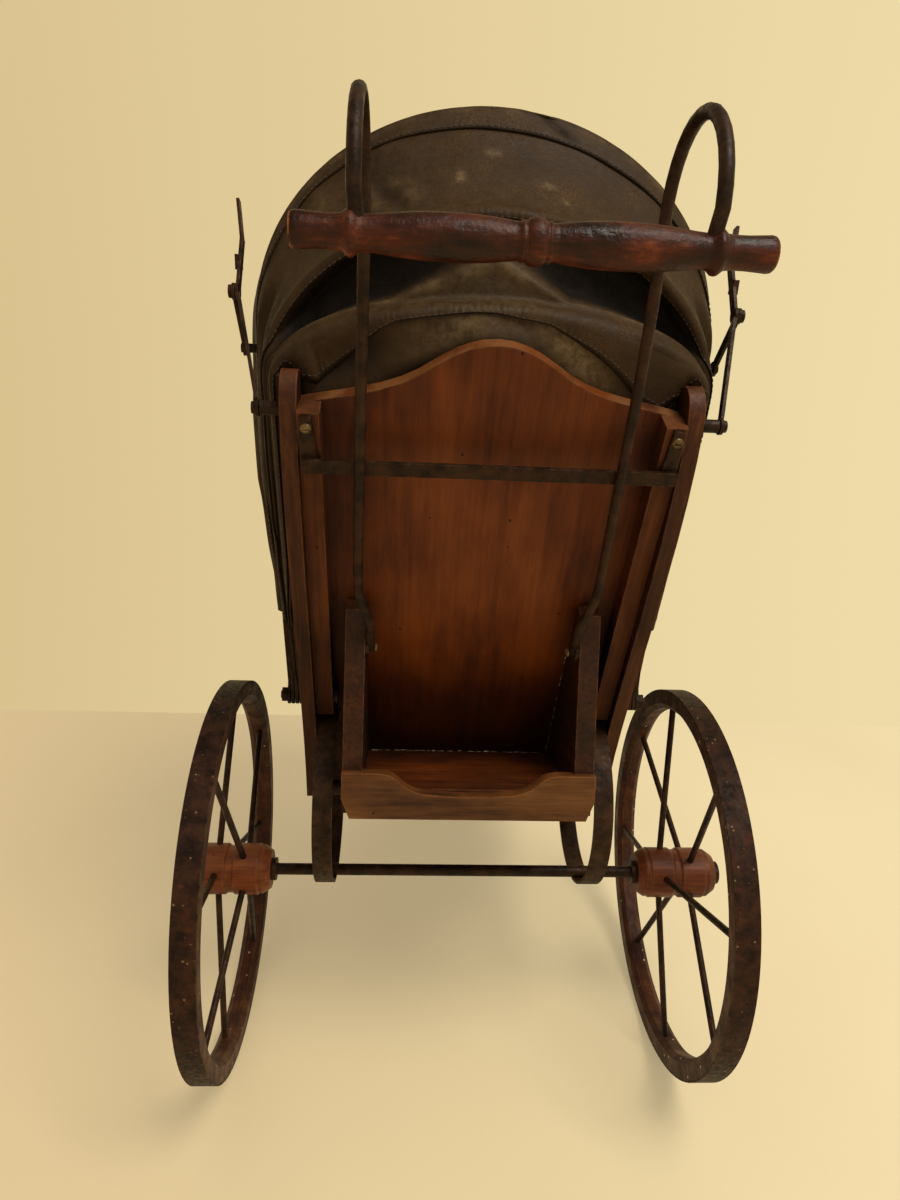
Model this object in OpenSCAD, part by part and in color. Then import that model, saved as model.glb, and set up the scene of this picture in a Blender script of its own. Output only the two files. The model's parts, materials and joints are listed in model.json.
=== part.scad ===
// Doll stroller: a wooden tub with a leather hood on two large spoked wheels,
// sprung on a pair of iron hoops, with a small forked wheel under its foot.
// Millimetres, +Z up, +Y forward, +X to the right of whoever pushes it.
// The origin is on the floor, under the middle of the whole length.

/* [Wheels] */
// Diameter of a rear wheel over its iron tyre
wheel_d = 305; // [300:1:310]
// Distance between the middle planes of the rear wheels
track = 364; // [360:1:372]
// Width of the rear rims across the tread
tread_w = 17; // [12:1:19]
// Depth of a rear rim from its tread inwards, with the tyre
rim_t = 16; // [12:1:20]
// Spokes in each rear wheel
spoke_count = 8; // [6:2:12]
// Diameter of a rear spoke
spoke_d = 5; // [3:0.5:7]
// Diameter of the rear axle
axle_d = 9.2; // [8:0.1:10]
// Diameter of the small front wheel
front_wheel_d = 100; // [90:1:104]
// Distance from the rear axle to the front one
wheelbase = 315; // [308:1:322]

/* [Chassis] */
// Slope of the chassis boards, down towards the front
chassis_tilt = 18; // [17:0.5:19]
// Mean radius of a hoop spring
hoop_r = 70.5; // [69:0.5:71]
// Width of the hoop's flat strip
hoop_w = 14.5; // [10:0.5:15]
// Half the distance between the hoops
hoop_x = 105; // [104:0.5:106]
// Thickness of the two bearers that carry the body
bearer_t = 14; // [10:1:16]
// Half the width over the bearers
bearer_x = 89; // [88:0.5:91]

/* [Body] */
// Half the width over the body's side boards
body_x = 123.5; // [123.5:0.5:124]
// Thickness of the side boards
side_t = 10; // [8:0.5:10]
// Thickness of the back panel
panel_t = 10; // [8:0.5:12]
// Lean of the back panel from upright
panel_lean = 18.8; // [18:0.1:20]
// Height of the back panel along its slope, at its shoulders
panel_h = 316; // [312:1:320]
// Rise of the back panel's curved top above its shoulders
panel_crest = 40; // [20:1:42]
// Height of the seat above the rear axle
seat_z = 154; // [152:1:156]

/* [Handle] */
// Diameter of the iron handle rods
rod_d = 6.5; // [6:0.5:7]
// Half the distance between the rods where they hook over
rod_x = 74; // [72:1:76]
// Radius of the hooks that carry the bar
crook_r = 40; // [38:1:41]
// Length of the turned handle bar
bar_l = 200; // [190:1:210]

/* [Hood] */
// Reach of the main bow from its pivot
main_reach = 397; // [394:1:398]
// Angle at which the main bow stands, forward of upright
main_angle = 4; // [3:0.5:5]
// Angle at which the front bow stands, forward of upright
front_angle = 28; // [26:0.5:32]
// Thickness of the hood's leather
leather_t = 1.8; // [1.2:0.1:2]
// Thickness of the bows' flat strip
bow_t = 2; // [1.5:0.1:2]

/* [Hidden] */
$fn = 64;

// Clearances
eps = 0.01;       // how far a cutter runs past what it cuts
run_gap = 0.06;   // radial clearance of a wheel or bow on its pin
side_gap = 0.4;   // end clearance between parts that turn against each other
seat_gap = 0.05;  // clearance between pieces that are fastened face to face
hole_gap = 0.06;  // radial clearance of a bolt or rivet in its hole

// Rear wheels
wheel_r = wheel_d / 2;
axle_r = axle_d / 2;
tyre_t = 2;
hub_r = 20;
hub_l = 64;
hub_x = track / 2;
rod_row = 11;             // how far each spoke row sits from the wheel's plane
nut_t = 5;
felloe_chamfer = 4;

// Length over everything: from the handle bar's back to the front wheel's front
bar_r = 9.6;
bar_y = -178;
bar_z = 471.5;
axle_y = -(bar_y - bar_r + wheelbase + front_wheel_d / 2) / 2;

// Hoop springs and the boards between them, on the sloping chassis
hoop_t = 2.4;
hoop_in = hoop_r - hoop_t / 2;
hoop_out = hoop_r + hoop_t / 2;
hoop_u = 6;
hoop_n = sqrt((hoop_in - axle_r - seat_gap) ^ 2 - hoop_u ^ 2);
rivet_r = 1.6;
hoop_bolt_r = 2.5;
board_lo = 77;            // underside of the bearers
shelf_top = 95;
shelf_t = 13;
deck_lo = hoop_n + hoop_out + seat_gap;
tie_u = 8;
tie_n = 66;
deck_t = 10.5;
deck_end = 115;
foot_lo = 97;
foot_t = 8;
foot_end = 318;
rear_u = -93;             // rear edge of the bearers
cross_t = 12;
cross_u = -100;
cross_hi = 109;
bearer_end = 300;
box_rim = 13;             // width of the bearers' top, in front of their rear edge
inner_x = body_x - side_t;
lean = panel_lean + chassis_tilt;
panel_u = 19.4;           // where the panel's back meets the shelf
box_top = shelf_top + (panel_u - rear_u - box_rim) / tan(lean) - 6;
shelf_x = bearer_x - bearer_t - seat_gap;
board_x = inner_x - seat_gap;   // half-length of the boards between the sides
seat_t = 8;
seat_y = 165;             // front edge of the seat
riser_t = 8;
dash_t = 9;

// Outline of the side boards, as [y, z] from the axle
ear_back = [-66, 385];
ear_front = [-38, 388];
arm_back = [60, 238];
arm_front = [170, 225];
knee = [300, 95];
nose = [352, 70];
sill_n = 60;              // underside of the side boards on the chassis slope
side_foot = chassis_to_axle([3.4, sill_n]);
side_toe = chassis_to_axle([336, sill_n]);

// Hood: everything turns about one line across the body
hood_y = 15;
hood_z = 153.5;
pivot_r = 3;
bow_w = 12;
eye_r = 7;
hem = 70;                 // how far the leather stays from the pivot
skin_gap = 0.25;          // between a bow and its leather
strip_gap = 1;            // side gap between the bows' eyes
// Each bow: [x at the pivot, widest x, height of the widest point, reach, angle]
first_x = body_x + 0.5 + bow_t / 2;
step_x = bow_t + strip_gap;
REAR = [first_x, 130, 246, 293, -11.7];
MIDDLE = [first_x + step_x, 137, 240, 340, -6.8];
MAIN = [first_x + 2 * step_x, 146, 273, main_reach, main_angle];
FRONT = [first_x + 3 * step_x, 157, 285, main_reach + 5, front_angle];
bow_steps = 14;
boss_x = MAIN[1] - 0.6;   // where the main bow's boss starts
slope_steps = 20;
slope_from = 32;          // how far round from level a sloping leather starts, in degrees
roof_x = 140;             // half-width of the roof behind the front bow

// Landau irons, as [y, z] from the axle
stud_at = [-54, 380];
knuckle_at = [3.9, 440.9];
link_reach = 252;         // where the link meets the main bow, from the pivot
link_at = [hood_y + link_reach * sin(main_angle), hood_z + link_reach * cos(main_angle)];
arm_x = 137.5;             // plane of the arm at the body stud
knuckle_x = 157;          // plane of the arm at its knuckle
iron_t = 2;
iron_w = 7;
iron_pin_r = 2;
link_x = knuckle_x + iron_t + side_gap;   // plane of the link

// Strap across the back, and the handle rods behind it, on the panel's slope
strap_s = 286.6;          // height of the strap up the panel
strap_h = 9;
strap_t = 2.5;
strap_back = 21.8;        // how far the strap's back lies behind the panel
strap_foot_x = 109;       // middle of a foot
strap_screw_s = 310;
batten_w = 13;
batten_d = 16;
batten_lo = 62;
batten_hi = 318;
screw_r = 1.6;

// Rods: points are [x, y, z] from the axle, for the right side
rod_r = rod_d / 2;
rod_steps = 6;
rod_in = bearer_x - bearer_t - rod_r - 0.2;
rod_eye = [rod_in, -21.5, 212];
rod_neck = [rod_in, -29.5, 229];
rod_belly = [79.3, -40, 264];
strap_point = panel_to_axle([-strap_back - rod_r - seat_gap, strap_s]);
rod_strap = [77.3, strap_point[0], strap_point[1]];
crook_y = -102 - crook_r;
crook_z = 487.5;

// Front wheel
front_r = front_wheel_d / 2;
fork_in = 13.5;           // inside half-width of the fork
fork_t = 3.5;
fork_w = 15;
pin_r = 4;
crown_t = 4;
crown_w = 52;
crown_l = 26;
crown_u = 285;            // middle of the crown plate on the chassis slope
block_l = 38;

// ---- helpers ----

// A point on the chassis slope, [u, n], as [y, z] from the axle
function chassis_to_axle(p) =
    [p[0] * cos(chassis_tilt) + p[1] * sin(chassis_tilt),
     -p[0] * sin(chassis_tilt) + p[1] * cos(chassis_tilt)];

// A point on the panel's slope, [depth, height], as [y, z] from the axle
function panel_to_axle(p) = chassis_to_axle(
    [panel_u + p[0] * cos(lean) - p[1] * sin(lean), shelf_top + p[0] * sin(lean) + p[1] * cos(lean)]);

// Points of a cubic curve, without its last one
function curve(a, b, c, d, n = 10) =
    [for (i = [0 : n - 1]) let (t = i / n, s = 1 - t)
        a * s ^ 3 + 3 * b * t * s ^ 2 + 3 * c * t ^ 2 * s + d * t ^ 3];

// Half a bow's outline, [x, r] from the pivot to the top, moved outwards by o
function bow_half(b, o) = concat(
    [[b[0] + o, 0]],
    [for (i = [0 : 5]) let (r = 10 + (b[2] - 10) * i / 6)
        [b[0] + (b[1] - b[0]) * sin(15 * i) + o, r]],
    [for (i = [0 : bow_steps]) let (a = 90 * i / bow_steps)
        [(b[1] + o) * cos(a), b[2] + (b[3] - b[2] + o) * sin(a)]]);

// The whole outline, from the right pivot over the top to the left one
function bow_path(b, o) = let (h = bow_half(b, o)) concat(
    h, [for (i = [len(h) - 2 : -1 : 0]) [-h[i][0], h[i][1]]]);

function reverse(v) = [for (i = [len(v) - 1 : -1 : 0]) v[i]];
function unit(v) = v / norm(v);

module from_axle() translate([0, axle_y, wheel_r]) children();
module on_chassis() from_axle() rotate([-chassis_tilt, 0, 0]) children();
module on_panel() on_chassis() translate([0, panel_u, shelf_top]) rotate([lean, 0, 0]) children();
module on_bow(angle) from_axle() translate([0, hood_y, hood_z]) rotate([-angle, 0, 0]) children();
// Both hoops' lines through the axle, or through their tops at u = hoop_u
module on_hoops(u = 0) on_chassis() for (s = [-1, 1]) translate([s * hoop_x, u, 0]) children();
module at_wheel(s) from_axle() translate([s * hub_x, 0, 0]) rotate([0, 90, 0]) children();
// A plate in the y-z plane, from x = a to x = b
module plate_yz(a, b) translate([a, 0, 0]) rotate([90, 0, 90]) linear_extrude(b - a) children();
module ring(r_out, r_in, h) difference() {
    cylinder(r = r_out, h = h, center = true);
    cylinder(r = r_in, h = h + 1, center = true);
}

// A round rod along a list of points, as one closed skin
module rod_along(path, r, sides = 12) {
    n = len(path);
    rings = [for (i = [0 : n - 1])
        let (t = unit(path[min(i + 1, n - 1)] - path[max(i - 1, 0)]),
             b = unit(cross(t, [1, 0, 0])), c = cross(b, t))
        for (k = [0 : sides - 1]) path[i] + r * (cos(360 * k / sides) * c + sin(360 * k / sides) * b)];
    skin = [for (i = [0 : n - 2]) for (k = [0 : sides - 1])
        [i * sides + k, (i + 1) * sides + k,
         (i + 1) * sides + (k + 1) % sides, i * sides + (k + 1) % sides]];
    first = [for (k = [0 : sides - 1]) k];
    last = [for (k = [sides - 1 : -1 : 0]) (n - 1) * sides + k];
    polyhedron(points = rings, faces = concat([first, last], skin), convexity = 6);
}

// ---- rear wheels and axle ----

// Round bar with a forged shoulder inside each hub, drilled for the hoops' rivets
module axle() color("dimgray") difference() {
    from_axle() rotate([0, 90, 0]) {
        shoulder = hub_x - hub_l / 2 - side_gap;
        cylinder(r = axle_r, h = 2 * (hub_x + hub_l / 2 + nut_t + 1), center = true);
        for (s = [0, 1]) mirror([0, 0, s])
            translate([0, 0, shoulder - 3.4]) cylinder(r = 9, h = 3.4, $fn = 48);
    }
    on_hoops() cylinder(r = rivet_r + hole_gap, h = 4 * axle_r, center = true);
}

module axle_nut(s) color("dimgray") from_axle()
    translate([s * (hub_x + hub_l / 2 + side_gap + nut_t / 2), 0, 0]) rotate([0, 90, 0])
        ring(9, axle_r + seat_gap, nut_t);

module tyre(s) color("dimgray") at_wheel(s) ring(wheel_r, wheel_r - tyre_t, tread_w);

module felloe(s) color("saddlebrown") at_wheel(s) rotate_extrude()
    polygon([[wheel_r - tyre_t, -tread_w / 2], [wheel_r - tyre_t, tread_w / 2],
             [wheel_r - rim_t + felloe_chamfer, tread_w / 2],
             [wheel_r - rim_t, tread_w / 2 - felloe_chamfer],
             [wheel_r - rim_t, -tread_w / 2 + felloe_chamfer],
             [wheel_r - rim_t + felloe_chamfer, -tread_w / 2]]);

module hub(s) color("brown") at_wheel(s) rotate_extrude() {
    bore = axle_r + run_gap;
    half = hub_l / 2;
    polygon([[bore, -half], [hub_r - 5, -half], [hub_r - 1, -half + 6], [hub_r - 1, -half + 9],
             [hub_r, -half + 10], [hub_r, -4], [hub_r - 1.5, -2], [hub_r - 1.5, 2], [hub_r, 4],
             [hub_r, half - 10], [hub_r - 1, half - 9], [hub_r - 1, half - 6],
             [hub_r - 5, half], [bore, half]]);
}

// Two staggered rows, each spoke leaning in from the hub's end to the rim's middle
module spokes(s) color("dimgray") from_axle() translate([s * hub_x, 0, 0])
    for (i = [0 : spoke_count - 1]) {
        row = (i % 2 == 0) ? rod_row : -rod_row;
        reach = wheel_r - rim_t + 3;
        start = hub_r - 4;
        rotate([360 * (i + 0.5) / spoke_count, 0, 0])
            translate([row, 0, start])
                rotate([0, -atan(0.8 * row / (reach - start)), 0])
                    cylinder(d = spoke_d, h = norm([reach - start, 0.8 * row]), $fn = 24);
    }

// ---- hoop springs ----

module hoop(s) color("dimgray") difference() {
    on_chassis() translate([s * hoop_x, hoop_u, hoop_n])
        rotate([0, 90, 0]) ring(hoop_out, hoop_in, hoop_w);
    on_hoops() translate([0, 0, -axle_r - 3 * hoop_t])
        cylinder(r = rivet_r + hole_gap, h = 4 * hoop_t);
    on_hoops(hoop_u) translate([0, 0, deck_lo - 3 * hoop_t])
        cylinder(r = hoop_bolt_r + hole_gap, h = 4 * hoop_t);
}

// Rivets up through the hoops and the axle, with a domed head underneath
module hoop_rivets() color("dimgray") on_hoops() {
    under = -axle_r - seat_gap - hoop_t - 0.35;
    translate([0, 0, under]) cylinder(r = rivet_r, h = axle_r + 1 - under);
    translate([0, 0, under]) rotate_extrude()
        polygon([[0, 0], [4.4, 0], [4, -1.2], [2.8, -2.2], [1.2, -2.7], [0, -2.7]]);
}

// Bolts from inside the hoops' tops up through the deck, with nuts above
module hoop_bolts() color("dimgray") on_hoops(hoop_u) {
    head = deck_lo - seat_gap - hoop_t - 0.2;
    translate([0, 0, head - 3]) cylinder(r = 5.5, h = 3, $fn = 32);
    translate([0, 0, head - 1]) cylinder(r = hoop_bolt_r, h = deck_lo + deck_t + 4 - head);
    translate([0, 0, deck_lo + deck_t + seat_gap]) cylinder(r = 5, h = 3, $fn = 6);
}

// Turned distance piece from the bearer's lug out to the side board, across the hoop
module tie(s) color("dimgray") on_chassis()
    translate([s * (bearer_x + inner_x) / 2, tie_u, tie_n]) rotate([0, 90, 0]) {
        cylinder(r = 6, h = inner_x - bearer_x - 2 * seat_gap, center = true);
    }

// ---- chassis boards ----

function panel_back(n) = panel_u - (n - shelf_top) * tan(lean);
function panel_front(n) = panel_back(n) + (panel_t + seat_gap) / cos(lean);

// Side of the rear box, running on under the deck and the foot board, with a lug for the tie
module bearer(s) color("saddlebrown") on_chassis() mirror([s < 0 ? 1 : 0, 0, 0])
    plate_yz(bearer_x - bearer_t, bearer_x)
        polygon([[cross_u + cross_t, board_lo], [cross_u + cross_t, cross_hi], [rear_u, cross_hi],
                 [rear_u, box_top], [panel_back(box_top + 6) - 0.1, box_top + 6],
                 [panel_back(deck_lo) - 0.1, deck_lo - seat_gap], [deck_end, deck_lo - seat_gap],
                 [deck_end, foot_lo - seat_gap], [bearer_end, foot_lo - seat_gap],
                 [bearer_end, board_lo + 8], [bearer_end - 8, board_lo],
                 [tie_u + 16, board_lo], [tie_u + 9, tie_n - 8], [tie_u - 9, tie_n - 8],
                 [tie_u - 16, board_lo]]);

// Rear board of the little box, with its top edge scooped between two end pads
module cross_board() color("peru") on_chassis()
    translate([0, cross_u + cross_t - seat_gap, 0]) rotate([90, 0, 0]) linear_extrude(cross_t)
        polygon(concat(
            [[-bearer_x + 6, board_lo], [bearer_x - 6, board_lo], [bearer_x, board_lo + 14],
             [bearer_x, cross_hi]],
            curve([62, cross_hi], [46, cross_hi - 1], [50, cross_hi - 15], [22, cross_hi - 15], 8),
            curve([22, cross_hi - 15], [8, cross_hi - 16], [-8, cross_hi - 16], [-22, cross_hi - 15], 4),
            curve([-22, cross_hi - 15], [-50, cross_hi - 15], [-46, cross_hi - 1], [-62, cross_hi], 8),
            [[-62, cross_hi], [-bearer_x, cross_hi], [-bearer_x, board_lo + 14]]));

module shelf_board() color("sienna") on_chassis()
    plate_yz(-shelf_x, shelf_x)
        polygon([[cross_u + cross_t, shelf_top - shelf_t], [panel_u + 8, shelf_top - shelf_t],
                 [panel_u + 8, shelf_top - seat_gap], [panel_u - 0.2, shelf_top - seat_gap],
                 [cross_u + cross_t, shelf_top - seat_gap]]);

module platform() color("saddlebrown") difference() {
    on_chassis() plate_yz(-board_x, board_x)
        polygon([[panel_front(deck_lo), deck_lo], [deck_end, deck_lo],
                 [deck_end, deck_lo + deck_t], [panel_front(deck_lo + deck_t), deck_lo + deck_t]]);
    on_hoops(hoop_u) translate([0, 0, deck_lo - 1])
        cylinder(r = hoop_bolt_r + hole_gap, h = deck_t + 2);
}

// ---- body ----

// Wide above the hoops, narrow between the bearers, with a curved crest
module back_panel() color("sienna") {
    notch = (deck_lo - shelf_top) / cos(lean);
    narrow = shelf_x;
    on_panel() translate([0, panel_t, 0]) rotate([90, 0, 0]) linear_extrude(panel_t)
        polygon(concat(
            [[-narrow, 0], [narrow, 0], [narrow, notch], [board_x, notch], [board_x, panel_h]],
            curve([board_x, panel_h], [90, panel_h + 6], [64, panel_h + 8], [45, panel_h + 20], 6),
            curve([45, panel_h + 20], [30, panel_h + 30], [18, panel_h + panel_crest],
                  [0, panel_h + panel_crest], 6),
            curve([0, panel_h + panel_crest], [-18, panel_h + panel_crest],
                  [-30, panel_h + 30], [-45, panel_h + 20], 6),
            curve([-45, panel_h + 20], [-64, panel_h + 8], [-90, panel_h + 6],
                  [-board_x, panel_h], 6),
            [[-board_x, panel_h], [-board_x, notch], [-narrow, notch]]));
}

module pivot_hole() from_axle() translate([0, hood_y, hood_z]) rotate([0, 90, 0])
    cylinder(r = pivot_r + hole_gap, h = 2 * body_x + 2, center = true);

module side(s) color("saddlebrown") difference() {
    from_axle() mirror([s < 0 ? 1 : 0, 0, 0]) plate_yz(inner_x, body_x)
        polygon(concat(
            curve(side_foot, [14, 150], [-64, 290], ear_back, 12),
            curve(ear_back, [-64, 408], [-40, 408], ear_front, 8),
            curve(ear_front, [-34, 330], [0, 240], arm_back, 10),
            curve(arm_back, [110, 236], [145, 245], arm_front, 8),
            curve(arm_front, [205, 195], [215, 100], knee, 10),
            curve(knee, [335, 93], [352, 90], nose, 6),
            curve(nose, [352, 30], [350, -10], side_toe, 8),
            [side_toe]));
    pivot_hole();
}

// Corner battens behind the panel, which also take the strap's screws
module batten(s) color("saddlebrown") difference() {
    on_panel() translate([s > 0 ? board_x - batten_w : -board_x, -batten_d, batten_lo])
        cube([batten_w, batten_d - seat_gap, batten_hi - batten_lo]);
    pivot_hole();
}

module seat_board() color("saddlebrown") from_axle() {
    top_front = panel_to_axle([panel_t, 0]);
    back = top_front[0] - (seat_z - seat_t - top_front[1]) * tan(panel_lean) + 0.3;
    translate([-board_x, back, seat_z - seat_t]) cube([2 * board_x, seat_y - back, seat_t]);
}

function slope_z(y, n) = (n - y * sin(chassis_tilt)) / cos(chassis_tilt);

module seat_riser() color("saddlebrown") from_axle() plate_yz(-board_x, board_x) {
    top = foot_lo + foot_t + seat_gap;
    polygon([[seat_y - riser_t, slope_z(seat_y - riser_t, top)], [seat_y, slope_z(seat_y, top)],
             [seat_y, seat_z - seat_t - seat_gap], [seat_y - riser_t, seat_z - seat_t - seat_gap]]);
}

module foot_board() color("saddlebrown") on_chassis()
    translate([-board_x, deck_end + 1, foot_lo])
        cube([2 * board_x, foot_end - deck_end - 1, foot_t]);

module dash_board() color("saddlebrown") from_axle() plate_yz(-board_x, board_x) {
    foot = chassis_to_axle([foot_end, foot_lo + foot_t]);
    low = foot[0] - dash_t;
    top = foot_lo + foot_t + seat_gap;
    polygon([[low, slope_z(low, top)], [foot[0], slope_z(foot[0], top)],
             [foot[0] + 7, 84], [foot[0] + 3, 88], [low + 6, 84]]);
}

// ---- strap and handle ----

// Flat strap across the back; each end steps in to its batten and turns up as a foot
module strap() color("dimgray") on_panel() difference() {
    union() {
        translate([-board_x + 1.5, -strap_back, strap_s - strap_h / 2])
            cube([2 * board_x - 3, strap_t, strap_h]);
        for (s = [-1, 1]) translate([s * strap_foot_x, 0, 0]) {
            translate([-3, -strap_back, strap_s - strap_h / 2])
                cube([6, strap_back - batten_d - seat_gap, strap_h]);
            translate([0, -batten_d - seat_gap, strap_s]) rotate([90, 0, 0])
                linear_extrude(strap_t)
                    polygon([[s * 3, -strap_h / 2], [s * 3, 12], [s * 2.5, 30], [s * -4, 31],
                             [s * -5, 20], [s * -6.5, -strap_h / 2]]);
        }
    }
    for (s = [-1, 1]) translate([s * (strap_foot_x - 1), 0, strap_screw_s]) rotate([90, 0, 0])
        cylinder(r = screw_r + hole_gap, h = 40);
}

// Round slotted screws through the strap's feet into the battens
module strap_screws() color("gray") on_panel() for (s = [-1, 1])
    translate([s * (strap_foot_x - 1), -batten_d - strap_t - 2 * seat_gap, strap_screw_s])
        rotate([90, 0, 0]) slotted_screw();

module slotted_screw(r = 3.4) difference() {
    union() {
        rotate_extrude($fn = 32) polygon([[0, 0], [r, 0], [r - 0.3, 0.9], [r - 1.4, 1.7], [0, 1.9]]);
        translate([0, 0, -12]) cylinder(r = screw_r, h = 12 + eps);
    }
    translate([-5, -0.45, 1]) cube([10, 0.9, 2]);
}

// From an eye on the bearer up behind the strap, and over in a hook that ends inside the bar
function rod_path(s) =
    let (top = [rod_x, crook_y + crook_r, crook_z], up = [0, -tan(panel_lean), 1],
         half = concat(
             curve(rod_eye, rod_eye + [0, -3, 7], rod_neck - [0, -2, 6], rod_neck, 3),
             curve(rod_neck, rod_neck + [0.6, -4, 12], rod_belly - [0, -3, 10], rod_belly, rod_steps),
             curve(rod_belly, rod_belly + 25 * up, rod_strap - 25 * up + [0.5, 0, 0], rod_strap,
                   rod_steps),
             curve(rod_strap, rod_strap + 45 * up - [0.7, 0, 0], top - [0, 0, 45], top, rod_steps),
             [for (a = [0 : 12 : 180]) [rod_x, crook_y + crook_r * cos(a), crook_z + crook_r * sin(a)]],
             [[rod_x - 1, bar_y - 2, bar_z + 5.5], [rod_x - 2, bar_y, bar_z]]))
    [for (p = half) [s * p[0], p[1], p[2]]];

module rod(s) color("dimgray") from_axle() difference() {
    union() {
        rod_along(rod_path(s), rod_r);
        rod_eye_at(s) translate([0, 0, -2.6]) cylinder(r = 6.5, h = 2.4, $fn = 32);
    }
    rod_eye_at(s) cylinder(r = screw_r + hole_gap, h = 30, center = true);
}

// The eye's centre on the bearer's inner face, facing outwards
module rod_eye_at(s) translate([s * (bearer_x - bearer_t), rod_eye[1], rod_eye[2]])
    rotate([0, s * 90, 0]) children();

module rod_screws() color("gray") from_axle() for (s = [-1, 1]) rod_eye_at(s)
    translate([0, 0, rod_in - rod_r - seat_gap - bearer_x + bearer_t])
        rotate([180, 0, 0]) slotted_screw(3.2);

// Turned bar: plain ends, a bead where each hook enters, long bellies and a middle bead
module handle_bar() color("maroon") from_axle() translate([0, bar_y, bar_z]) rotate([0, 90, 0])
    rotate_extrude() {
        half = bar_l / 2;
        neck = bar_r - 2.4;
        right = concat([[0, half], [neck - 1, half], [neck, half - 1.5], [neck, half - 17]],
                       [[bar_r - 0.6, half - 20], [bar_r - 0.6, half - 24], [neck, half - 28]],
                       curve([neck + 0.4, half - 31], [bar_r + 0.8, half - 45],
                             [bar_r + 0.8, 26], [neck, 8], 8),
                       [[neck, 8], [bar_r - 1.2, 6], [bar_r, 2]]);
        polygon(concat(right, [for (p = reverse(right)) [p[0], -p[1]]]));
    }

// ---- hood ----

// Bolt through a batten, a side board and the four bows' eyes, with a nut outside
module pivot(s) color("dimgray") from_axle() translate([0, hood_y, hood_z])
    rotate([0, s * 90, 0]) {
        inside = board_x - batten_w - seat_gap;
        tail = FRONT[0] + bow_t / 2 + side_gap;
        translate([0, 0, inside - 3]) cylinder(r = 6, h = 3, $fn = 32);
        translate([0, 0, inside - eps]) cylinder(r = pivot_r, h = tail + 5 - inside);
        translate([0, 0, tail]) cylinder(r = 6, h = 4, $fn = 6);
    }

// One flat strip from pivot to pivot over the top, with a drilled eye at each end
module bow(b) color("dimgray") on_bow(b[4]) difference() {
    union() {
        rotate([90, 0, 0]) linear_extrude(bow_w, center = true)
            polygon(concat(bow_path(b, bow_t / 2), reverse(bow_path(b, -bow_t / 2))));
        for (s = [-1, 1]) translate([s * b[0], 0, 0]) rotate([0, 90, 0])
            cylinder(r = eye_r, h = bow_t, center = true);
    }
    for (s = [-1, 1]) translate([s * b[0], 0, 0]) rotate([0, 90, 0])
        cylinder(r = pivot_r + run_gap, h = 3 * bow_t, center = true);
}

// The main bow also carries a boss on each side, behind the end of its landau iron
module main_bow() {
    bow(MAIN);
    color("dimgray") boss(3);
}

module boss(r) on_bow(main_angle) for (s = [-1, 1]) translate([s * boss_x, 0, link_reach])
    rotate([0, s * 90, 0]) cylinder(r = r, h = link_x - iron_t / 2 - side_gap - boss_x, $fn = 32);

// Outline of the leather over a bow, in the plane of radius and width
module leather_strip(b) difference() {
    polygon([for (p = bow_path(b, bow_t / 2 + skin_gap + leather_t)) [p[1], p[0]]]);
    polygon([for (p = bow_path(b, bow_t / 2 + skin_gap)) [p[1], p[0]]]);
    translate([-eps, -300]) square([hem + eps, 600]);
}

// A sector of leather about the pivot line, from angle a to angle b forward of upright
module leather_sector(b, from, to) from_axle() translate([0, hood_y, hood_z])
    rotate([0, -90, 0]) rotate([0, 0, from]) rotate_extrude(angle = to - from, $fn = 96)
        leather_strip(b);

// A wall of leather at one angle, between two bows' outlines
module leather_wall(angle, outer, inner, low) on_bow(angle) rotate([90, 0, 0])
    linear_extrude(leather_t) difference() {
        polygon(bow_path(outer, bow_t / 2 + skin_gap + leather_t / 2));
        polygon(inner);
        translate([-300, -eps]) square([600, low + eps]);
    }

// The top of a bow's outline at an angle, moved outwards by o, as points about the pivot line
function arch_at(b, angle, o) = [for (i = [0 : slope_steps])
    let (a = slope_from + (180 - 2 * slope_from) * i / slope_steps,
         r = b[2] + (b[3] - b[2] + o) * sin(a))
    [(b[1] + o) * cos(a), r * sin(angle), r * cos(angle)]];

// Leather that slopes from one bow's outline up to the next one's, over their tops
module leather_slope(low, low_angle, low_o, high, high_angle, high_o) {
    n = slope_steps + 1;
    skin = concat(arch_at(low, low_angle, low_o + leather_t), arch_at(high, high_angle, high_o + leather_t),
                  arch_at(high, high_angle, high_o), arch_at(low, low_angle, low_o));
    quads = [for (k = [0 : 3]) for (i = [0 : n - 2]) let (a = k * n + i, b = ((k + 1) % 4) * n + i)
        [a, a + 1, b + 1, b]];
    from_axle() translate([0, hood_y, hood_z]) polyhedron(points = skin, convexity = 6,
        faces = concat([for (q = quads) [q[0], q[1], q[2]]], [for (q = quads) [q[0], q[2], q[3]]],
                       [[0, n, 2 * n], [0, 2 * n, 3 * n],
                        [n - 1, 3 * n - 1, 2 * n - 1], [n - 1, 4 * n - 1, 3 * n - 1]]));
}

// Around the rear bow, with a wall closed down towards the back panel's crest
module rear_leather() color("darkslategray") {
    leather_sector(REAR, REAR[4] - 2.5, REAR[4] + 1);
    leather_wall(REAR[4] - 2, REAR,
        [[-200, 0], [200, 0], [200, 260], [112, 260], [112, 247], [-112, 247], [-112, 260],
         [-200, 260]], 247);
}

module middle_leather() color("darkslategray") {
    leather_sector(MIDDLE, MIDDLE[4] - 4, MIDDLE[4] + 1);
    leather_wall(MIDDLE[4] - 3.5, MIDDLE, bow_path(REAR, bow_t / 2 + leather_t + 1.8), 225);
}

module main_leather() color("darkslategray") difference() {
    union() {
        leather_sector(MAIN, MAIN[4] - 2, MAIN[4] + 3);
        leather_slope(MIDDLE, MIDDLE[4] + 0.3, bow_t / 2 + leather_t + 0.9, MAIN, MAIN[4] - 1.8, bow_t / 2 + skin_gap);
    }
    boss(3 + skin_gap);
}

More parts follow.
